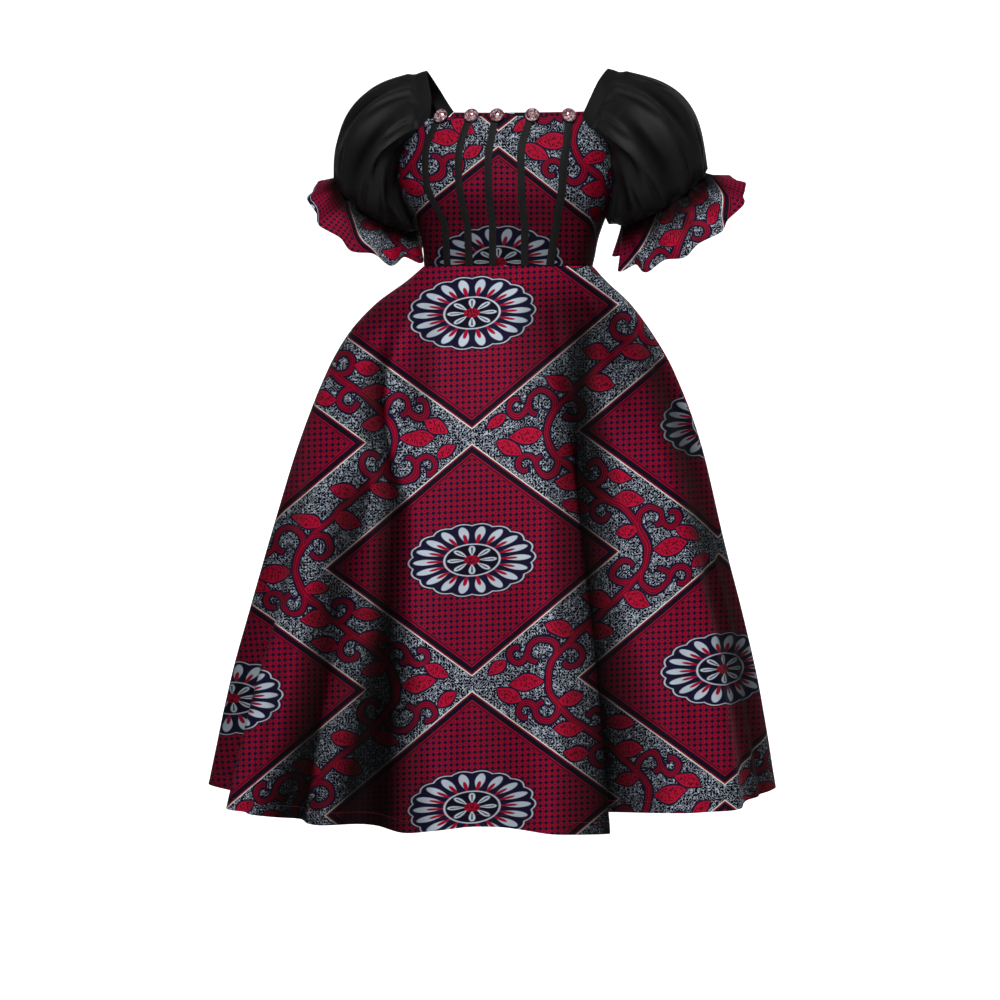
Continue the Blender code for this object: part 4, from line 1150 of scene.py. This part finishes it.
def ruffleGrid(sizes, columns, rows):
    angle = np.arange(columns) * 360 / columns
    top, _ = ring(sizes, "cuff", angle)
    hem, out = ring(sizes, "hem", angle)
    axis = wayDownArm(sizes)
    wave = np.cos(np.radians(sizes["waves"] * angle + sizes["wavePhase"]))
    wave = wave * (1 + 0.30 * np.cos(np.radians(2 * angle + 40))) * (1 - 0.70 * bump(wrapped(angle) / 75))
    v = np.linspace(0, 1, rows)[:, None, None]
    swell = 0.0070 * v**1.3 * wave[None, :, None]
    gathers = np.cos(np.radians(33 * angle + 40))[None, :, None]
    gather = 0.0012 * np.exp(-v / 0.16) * smoothStep(v / 0.02) * gathers
    turned = np.cos(np.radians(2 * sizes["waves"] * angle + sizes["wavePhase"] * 2 + 60))[None, :, None]
    flick = 0.0008 * v**2 * turned
    points = top + axis * dress["seam"] / 2 + (hem - top) * v + out * (swell + gather + flick)
    points = points + axis * 0.0012 * v * wave[None, :, None]
    points[0] -= axis * 0.0030 + out * 0.0022  # the seam allowance, inside the puff
    return points, outward(points, top.mean(axis=0)), angle


ruffle = {"columns": 330, "rows": 30, "around": 0.66}
stitchLines = {"ruffle": [], "strap": []}
for side, sizes in sleeveSizes.items():
    title, sign = side.capitalize(), sizes["sign"]
    points, normals, angle, shade = puffGrid(sizes)
    around = np.concatenate([angle, [360]]) / 360
    down = np.linspace(0, 0.30, len(points))
    uv = np.stack(np.broadcast_arrays(around[None, :] * 0.9, down[:, None]), axis=-1)
    piece = clothShell(
        "sleeve" + title, points, normals, dress["sleeveCloth"], uv, blackCotton, closed=True, shade=shade
    )
    finishCloth(piece, "sleeve_" + side)

    points, normals, angle = ruffleGrid(sizes, ruffle["columns"], ruffle["rows"])
    around = np.concatenate([angle, [360]]) / 360 * ruffle["around"]
    down = np.linspace(0, -0.085, len(points))
    uv = np.stack(np.broadcast_arrays(sign * around[None, :] + 0.06, down[:, None] + 0.13), axis=-1)
    v = np.linspace(0, 1, ruffle["rows"])[:, None]
    # painted shadow of the puff over the ruffle's top, reaching down unevenly round the arm
    puffShadowReach = 0.62 + 0.13 * np.cos(np.radians(sizes["waves"] * angle + 150))
    puffShadowReach = puffShadowReach + 0.07 * np.cos(np.radians(23 * angle))
    shade = 1 - smoothStep((v - 0.12) / puffShadowReach) * (0.90 + 0.10 * np.cos(np.radians(sizes["waves"] * angle)))
    piece = clothShell(
        "ruffle" + title, points, normals, dress["cloth"], uv, waxCotton, closed=True, shade=shade
    )
    finishCloth(piece, "ruffle_" + side)
    stitchLines["ruffle"].append(points[-4] + normals[-4] * 0.0001)

    inner, outer = strapEdges(sign, 30)
    shares = np.linspace(0, 1, 9)[:, None, None]
    grid = inner + (outer - inner) * shares
    for end, nearer in ((0, 1), (-1, -2)):
        grid[:, end] += unit(grid[:, nearer] - grid[:, end]) * dress["seam"] * 2.8
    normals = gridNormals(grid)
    normals *= np.sign(normals[..., 2:].sum())
    crown = 0.0006 * bump(shares * 2 - 1)
    width, length = gridSize(grid.transpose(1, 0, 2))
    uv = gridUv(length, width, grid.shape[1], 9)
    piece = clothShell("strap" + title, grid + normals * crown, normals, dress["cloth"], uv, blackTape)
    finishCloth(piece, "strap_" + side)
    stitchLines["strap"].append(grid[1] + normals[1] * 0.0003)
print("stage: sleeves made")


# Pockets, hanging inside the skirt from the side seams

pocket = table(
    "step turn spread z height inset halfThick",
    (0, 90.0, 4.40, -0.450, 0.082, 0.0022, 0.0000),
    (1, 88.0, 3.60, -0.452, 0.083, 0.0095, 0.0060),
    (2, 83.5, 1.70, -0.460, 0.088, 0.0180, 0.0130),
    (3, 76.0, 0.00, -0.475, 0.094, 0.0205, 0.0160),
    (4, 66.0, 0.00, -0.493, 0.094, 0.0210, 0.0165),
    (5, 57.0, 0.00, -0.507, 0.080, 0.0195, 0.0140),
    (6, 50.5, 0.00, -0.516, 0.050, 0.0170, 0.0090),
    (7, 47.5, 0.00, -0.519, 0.0010, 0.0155, 0.0004),
)
pocketMake = {"rows": 44, "around": 64, "cloth": 0.0012, "pucker": 0.0012}


def pocketGrid(sign):
    t = np.linspace(0, 7, pocketMake["rows"])[:, None]
    around = (np.arange(pocketMake["around"]) * 2 * math.pi / pocketMake["around"])[None, :]
    row = {name: read(pocket, "step", name, t) for name in pocket if name != "step"}
    slack = pocketMake["pucker"] * np.sin(5 * around + 2.2 * t) * bump((t - 3.6) / 3.2)
    turn = row["turn"] + row["spread"] * np.cos(around)
    inset = row["inset"] + row["halfThick"] * np.cos(around) + slack
    z = row["z"] + row["height"] * np.sin(around)
    inward = normalOf(skirtPoint, sign * turn, z) * (dress["cloth"] + inset)[..., None]
    return skirtPoint(sign * turn, z) - inward


for side, sign in (("left", 1), ("right", -1)):
    points = pocketGrid(sign)
    normals = outward(points, points.mean(axis=(0, 1)))
    uv = gridUv(0.37, 0.2, pocketMake["around"] + 1, len(points))
    piece = clothShell(
        "pocket" + side.capitalize(), points, normals, pocketMake["cloth"], uv, blackCotton,
        closed=True, capped=True,
    )
    finishCloth(piece, "pocket_" + side)
print("stage: pockets made")


# Tapes down the bodice, and the buttons at their tops

tapes = table(
    "neck bust under mid waist button",
    (-0.1020, -0.1120, -0.1060, -0.0830, -0.0800, -0.0950),
    (-0.0520, -0.0580, -0.0540, -0.0470, -0.0440, -0.0470),
    (-0.0110, -0.0120, -0.0090, -0.0080, -0.0080, -0.0080),
    (0.0410, 0.0360, 0.0400, 0.0400, 0.0400, 0.0450),
    (0.0990, 0.1000, 0.0990, 0.0850, 0.0760, 0.0980),
)
tapeMake = {
    "heights": dict(neck=-0.086, bust=-0.122, under=-0.178, mid=-0.240, waist=-0.2992),
    "top": -0.0800,
    "width": 0.0112,
    "cloth": 0.0010,
    "gap": 0.0007,
    "rows": 90,
    "columns": 9,
}


def onBodice(x, z):
    fine = np.linspace(-89, 89, 713)
    across = torsoPoint(fine, z)[:, 0] - read(torso, "z", "centreX", z)
    angle = np.interp(x, across, fine)
    return torsoPoint(angle, z), normalOf(torsoPoint, angle, z)


tapeEdges = []
for number, row in enumerate(rowsOf(tapes), 1):
    levelsOfTape = tapeMake["heights"]
    places = dict(z=np.array(list(levelsOfTape.values())), x=np.array([row[n] for n in levelsOfTape]))
    grid, outwardWays = [], []
    offsets = np.linspace(-1, 1, tapeMake["columns"])
    for z in np.linspace(tapeMake["heights"]["waist"], tapeMake["top"], tapeMake["rows"]):
        middle = float(read(places, "z", "x", z))
        spots = [onBodice(middle + offset * tapeMake["width"] / 2, z) for offset in offsets]
        outwardWays.append([normal for _, normal in spots])
        lift = tapeMake["gap"] + tapeMake["cloth"] + 0.0005 * bump(offsets)
        grid.append([point + normal * up for (point, normal), up in zip(spots, lift)])
    grid, outwardWays = np.array(grid), np.array(outwardWays)
    uv = gridUv(*gridSize(grid), grid.shape[1], len(grid))
    piece = clothShell(f"tape{number}", grid, outwardWays, tapeMake["cloth"], uv, blackTape)
    finishCloth(piece, f"tape_{number}")
    for column in (1, -2):
        tapeEdges.append(grid[:, column] + outwardWays[:, column] * 0.0001)
print("stage: tapes made")


# Buttons: a faceted pink stone in a black cup

button = {
    "z": -0.0768,
    "rise": 0.0035,
    "radius": 0.0112,
    "thick": 0.0026,
    "stone": 0.0108,
    "sides": 14,
    # radius share and height of each ring of facets
    "facets": ((1.00, 0.0000), (0.99, 0.0011), (0.88, 0.0026), (0.66, 0.0042), (0.40, 0.0053), (0.17, 0.0058)),
}

crystal, tree, shader = newMaterial(
    "pink crystal", Roughness=0.07, Specular_IOR_Level=0.8, Coat_Weight=1.0, Coat_Roughness=0.03, Metallic=0.35
)
# painted glints and reflections: each facet's colour, at random from near black to white; the pink between is the
# stone's own colour
paintedGlint = tree.nodes.new("ShaderNodeAttribute")
paintedGlint.attribute_name = "facet"
ramp = rampOf(tree, paintedGlint.outputs["Fac"], (
    (0.0, (0.06, 0.015, 0.025)), (0.28, (0.28, 0.095, 0.125)), (0.62, (0.60, 0.30, 0.34)),
    (0.86, (0.90, 0.70, 0.71)), (1.0, (1.0, 0.95, 0.95)),
))
tree.links.new(ramp.outputs["Color"], shader.inputs["Base Color"])


def hardMaterial(name, colour, rough, scratch, **sockets):
    made, tree, shader = newMaterial(name, **sockets)
    place = tree.nodes.new("ShaderNodeTexCoord").outputs["Object"]
    wear = noiseOf(tree, place, scratch, 4.0)
    tree.links.new((wear * rough[1] + rough[0]).socket, shader.inputs["Roughness"])
    tint = mixed(tree, wear, colour, tuple(c * 1.8 for c in colour))
    tree.links.new(tint.socket, shader.inputs["Base Color"])
    dents = tree.nodes.new("ShaderNodeBump")
    dents.inputs["Strength"].default_value = 0.1
    dents.inputs["Distance"].default_value = 0.0002
    tree.links.new(wear.socket, dents.inputs["Height"])
    tree.links.new(dents.outputs["Normal"], shader.inputs["Normal"])
    return made


blackPlastic = hardMaterial("black plastic", (0.006, 0.006, 0.007), (0.22, 0.15), 900.0)
darkMetal = hardMaterial("dark metal", (0.045, 0.045, 0.050), (0.24, 0.25), 1400.0, Metallic=1.0)


def placing(point, normal):
    z = Vector(normal).normalized()
    x = Vector((0, 0, 1)).cross(z).normalized()
    return Matrix.Translation(Vector(point)) @ Matrix((x, z.cross(x), z)).transposed().to_4x4()


def buttonPart(name, node, mesh, point, normal, finish):
    mesh.transform(placing(point, normal))
    mesh.materials.append(finish)
    piece = placed(name, mesh)
    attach(piece, "dress")
    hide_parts(node)


def turnedMesh(name, rings, sides, offset=0.0, smooth=True):
    # rings of radius and height, closed at both ends
    vertices = []
    for k, (radius, height) in enumerate(rings):
        for i in range(sides):
            a = 2 * math.pi * (i + offset * (k % 2)) / sides
            vertices.append((radius * math.cos(a), radius * math.sin(a), height))
    faces = [tuple(range(sides))[::-1], tuple(range((len(rings) - 1) * sides, len(rings) * sides))]
    for k in range(len(rings) - 1):
        here, after = k * sides, (k + 1) * sides
        for i in range(sides):
            j = (i + 1) % sides
            a, b, c, d = here + i, here + j, after + j, after + i
            if offset and not k % 2:
                faces += [(a, b, d), (b, c, d)]
            elif offset:
                faces += [(a, b, c), (a, c, d)]
            else:
                faces.append((a, b, c, d))
    mesh = bpy.data.meshes.new(name)
    mesh.from_pydata(vertices, [], faces)
    if smooth:
        mesh.shade_smooth()
        mesh.set_sharp_from_angle(angle=math.radians(40))
    return mesh


for number, row in enumerate(rowsOf(tapes), 1):
    point, normal = onBodice(row["button"], button["z"] - button["rise"])
    point = point + unit(np.array([0, 0, 1]) - normal * normal[2]) * button["rise"]
    base = tapeMake["gap"] + tapeMake["cloth"] + dress["seam"]
    radius, thick = button["radius"], button["thick"]
    rim = [(radius * 0.62, 0.0), (radius * 0.74, 0.0001), (radius * 0.93, 0.0007), (radius, 0.0016)]
    rim += [(radius * 1.005, thick * 0.85), (radius * 0.99, thick + 0.0004), (radius * 0.955, thick + 0.0006)]
    rim += [(radius * 0.925, thick + 0.0002), (radius * 0.92, thick)]
    cup = turnedMesh(f"buttonCup{number}", rim, 48)
    buttonPart(f"buttonCup{number}", f"button_{number}", cup, point + normal * base, normal, blackPlastic)

    facets = [(button["stone"] * share, height) for share, height in button["facets"]]
    stone = turnedMesh(f"stone{number}", facets, button["sides"], 0.5, smooth=False)
    values = stone.attributes.new("facet", "FLOAT", "FACE")
    chance = np.random.default_rng(40 + number)
    values.data.foreach_set("value", chance.beta(1.1, 1.15, len(stone.polygons)).astype(np.float32))
    seat = point + normal * (base + thick + dress["seam"])
    buttonPart(f"stone{number}", f"crystal_{number}", stone, seat, normal, crystal)
print("stage: buttons made")


# Zip: its tape under the two back pieces, and the dark metal slider and pull

zipMake = {"end": -0.450, "width": 0.024, "cloth": 0.0008, "rows": 150, "columns": 7}
grid, outwardWays = [], []
for z in np.linspace(backTop(180.0), zipMake["end"], zipMake["rows"]):
    surface, rows = (torsoPoint, torso) if z > dress["waistZ"] else (skirtPoint, skirt)
    reach = math.degrees(zipMake["width"] / 2 / read(rows, "z", "halfWidth", z))
    angles = 180 + np.linspace(-reach, reach, zipMake["columns"])
    outwardWays.append(normalOf(surface, angles, z))
    grid.append(surface(angles, z) - outwardWays[-1] * (dress["cloth"] + dress["seam"] * 2))
grid, outwardWays = np.array(grid), np.array(outwardWays)
uv = gridUv(*gridSize(grid), zipMake["columns"], len(grid))
piece = clothShell("zipTape", grid, outwardWays, zipMake["cloth"], uv, blackTape)
finishCloth(piece, "zip_tape")
middle = zipMake["columns"] // 2
coilLine = grid[4:, middle] - outwardWays[4:, middle] * (zipMake["cloth"] + 0.0005)
for node in ("zip_slider", "zip_pull"):
    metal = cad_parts[node]
    metal.data.materials.clear()
    metal.data.materials.append(darkMetal)


# Stitches and the zip's coil repeat one small bead along a line

def beadsTree():
    tree = bpy.data.node_groups.new("beadsAlongLine", "GeometryNodeTree")
    tree.interface.new_socket("Line", in_out="INPUT", socket_type="NodeSocketGeometry")
    for label in ("Step", "Bead Length", "Bead Width", "Bead Height"):
        tree.interface.new_socket(label, in_out="INPUT", socket_type="NodeSocketFloat").default_value = 0.001
    tree.interface.new_socket("Thread", in_out="INPUT", socket_type="NodeSocketMaterial")
    tree.interface.new_socket("Beads", in_out="OUTPUT", socket_type="NodeSocketGeometry")

    def node(kind, **links):
        made = tree.nodes.new(kind)
        for label, socket in links.items():
            tree.links.new(socket, made.inputs[label.replace("_", " ")])
        return made

    given, out = tree.nodes.new("NodeGroupInput"), tree.nodes.new("NodeGroupOutput")
    curve = node("GeometryNodeMeshToCurve", Mesh=given.outputs["Line"])
    evened = node("GeometryNodeResampleCurve", Curve=curve.outputs[0])
    evened.mode = "LENGTH"
    step = next(socket for socket in evened.inputs if socket.name == "Length" and socket.enabled)
    tree.links.new(given.outputs["Step"], step)
    tangent = tree.nodes.new("GeometryNodeInputTangent")
    facing = node("FunctionNodeAlignRotationToVector", Vector=tangent.outputs[0])
    facing.axis = "X"
    bead = tree.nodes.new("GeometryNodeMeshUVSphere")
    bead.inputs["Segments"].default_value, bead.inputs["Rings"].default_value = 6, 4
    bead.inputs["Radius"].default_value = 0.5
    size = tree.nodes.new("ShaderNodeCombineXYZ")
    for place, label in enumerate(("Bead Length", "Bead Width", "Bead Height")):
        tree.links.new(given.outputs[label], size.inputs[place])
    shaped = node("GeometryNodeTransform", Geometry=bead.outputs["Mesh"], Scale=size.outputs[0])
    copies = node(
        "GeometryNodeInstanceOnPoints",
        Points=evened.outputs[0], Instance=shaped.outputs[0], Rotation=facing.outputs[0],
    )
    real = node("GeometryNodeRealizeInstances", Geometry=copies.outputs[0])
    painted = node("GeometryNodeSetMaterial", Geometry=real.outputs[0], Material=given.outputs["Thread"])
    tree.links.new(painted.outputs[0], out.inputs[0])
    return tree


beads = beadsTree()


def beadsAlong(name, lines, thread, sizes, closed=False):
    vertices, edges = [], []
    for line in lines:
        first = len(vertices)
        vertices += [tuple(v) for v in line]
        edges += [(first + i, first + i + 1) for i in range(len(line) - 1)]
        if closed:
            edges.append((len(vertices) - 1, first))
    mesh = bpy.data.meshes.new(name + "Line")
    mesh.from_pydata(vertices, edges, [])
    piece = placed(name, mesh)
    steps = piece.modifiers.new("beads", "NODES")
    steps.node_group = beads
    named = {item.name: item.identifier for item in beads.interface.items_tree}
    for label, value in sizes.items():
        steps[named[label]] = value
    steps[named["Thread"]] = thread
    bpy.context.view_layer.update()
    made = bpy.data.meshes.new_from_object(piece.evaluated_get(bpy.context.evaluated_depsgraph_get()))
    piece.modifiers.remove(steps)
    piece.data = made
    made.name = name
    made.shade_smooth()
    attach(piece, "dress")
    print(f"  {name}: {len(made.polygons)} faces")
    return piece


threads = {
    "red": hardMaterial("red thread", (0.16, 0.006, 0.020), (0.60, 0.10), 1500.0),
    "black": hardMaterial("black thread", (0.008, 0.008, 0.009), (0.60, 0.10), 1500.0),
}
stitch = {"Step": 0.0034, "Bead Length": 0.0026, "Bead Width": 0.0006, "Bead Height": 0.0005}
fine = {"Step": 0.0028, "Bead Length": 0.0021, "Bead Width": 0.0005, "Bead Height": 0.0004}
coil = {"Step": 0.0015, "Bead Length": 0.0010, "Bead Width": 0.0034, "Bead Height": 0.0010}
beadsAlong("hemStitches", hemLines, threads["red"], stitch)
beadsAlong("ruffleStitches", stitchLines["ruffle"], threads["red"], fine, closed=True)
beadsAlong("strapStitches", stitchLines["strap"], threads["black"], fine)
beadsAlong("tapeStitches", tapeEdges, threads["black"], fine)
beadsAlong("zipCoil", [coilLine], threads["black"], coil)
print("stage: stitches made")


# Studio: a pale sweep behind and under the dress, and soft lights

studio = {
    "floorZ": -1.42,
    "wall": 2.6,
    "bend": 1.1,
    "front": -3.6,
    "width": 7.0,
    "pale": 0.80,
    "world": 0.035,
    # place, aim, width, height, watts
    "lights": (
        ("key", (0.1, -2.8, 2.1), (0.0, 0.0, -0.65), 0.9, 0.9, 102.0),
        ("fill", (0.4, -3.6, -0.3), (0.0, 0.0, -0.65), 1.8, 1.8, 12.0),
        ("back", (0.9, 2.3, 0.9), (0.0, 0.0, -0.60), 1.6, 1.6, 24.0),
    ),
}
profile = [(studio["front"], studio["floorZ"])]
for step in range(13):
    a = math.pi / 2 * step / 12
    profile.append((
        studio["wall"] - studio["bend"] * (1 - math.sin(a)),
        studio["floorZ"] + studio["bend"] * (1 - math.cos(a)),
    ))
profile.append((studio["wall"], studio["floorZ"] + 4.2))
halfWidth = studio["width"] / 2
vertices = [(x, y, z) for y, z in profile for x in (-halfWidth, halfWidth)]
sweepMesh = bpy.data.meshes.new("sweep")
strips = [(i, i + 1, i + 3, i + 2) for i in range(0, 2 * len(profile) - 2, 2)]
sweepMesh.from_pydata(vertices, [], strips)
sweepMesh.shade_smooth()
sweep = placed("sweep", sweepMesh)
paper, tree, shader = newMaterial(
    "paper", Base_Color=(studio["pale"],) * 3 + (1,), Roughness=0.9, Specular_IOR_Level=0.1,
    Emission_Color=(1, 1, 1, 1),
)
seen = tree.nodes.new("ShaderNodeLightPath")  # white to the camera, and no glare on the cloth
tree.links.new(seen.outputs["Is Camera Ray"], shader.inputs["Emission Strength"])
behind = tree.nodes.new("ShaderNodeNewGeometry")  # and nothing at all from its far side
clear = tree.nodes.new("ShaderNodeBsdfTransparent")
either = tree.nodes.new("ShaderNodeMixShader")
tree.links.new(behind.outputs["Backfacing"], either.inputs[0])
tree.links.new(shader.outputs[0], either.inputs[1])
tree.links.new(clear.outputs[0], either.inputs[2])
tree.links.new(either.outputs[0], tree.nodes["Material Output"].inputs["Surface"])
sweepMesh.materials.append(paper)

for name, place, aim, width, height, watts in studio["lights"]:
    light = bpy.data.lights.new(name, "AREA")
    light.shape, light.size, light.size_y, light.energy = "RECTANGLE", width, height, watts
    lamp = placed(name, light)
    lamp.location = place
    lamp.visible_glossy = name != "back"
    lamp.rotation_euler = (Vector(aim) - Vector(place)).to_track_quat("-Z", "Y").to_euler()

world = bpy.data.worlds.new("studio")
world.use_nodes = True
world.node_tree.nodes["Background"].inputs["Color"].default_value = (1, 1, 1, 1)
sky, faint = world.node_tree, studio["world"]
rays = sky.nodes.new("ShaderNodeLightPath")
strength = Wire(sky, rays.outputs["Is Camera Ray"]).math("MULTIPLY_ADD", 1 - faint, faint)
sky.links.new(strength.socket, sky.nodes["Background"].inputs["Strength"])
bpy.context.scene.world = world
bpy.context.scene.view_settings.view_transform = "Standard"

print("stage: done")
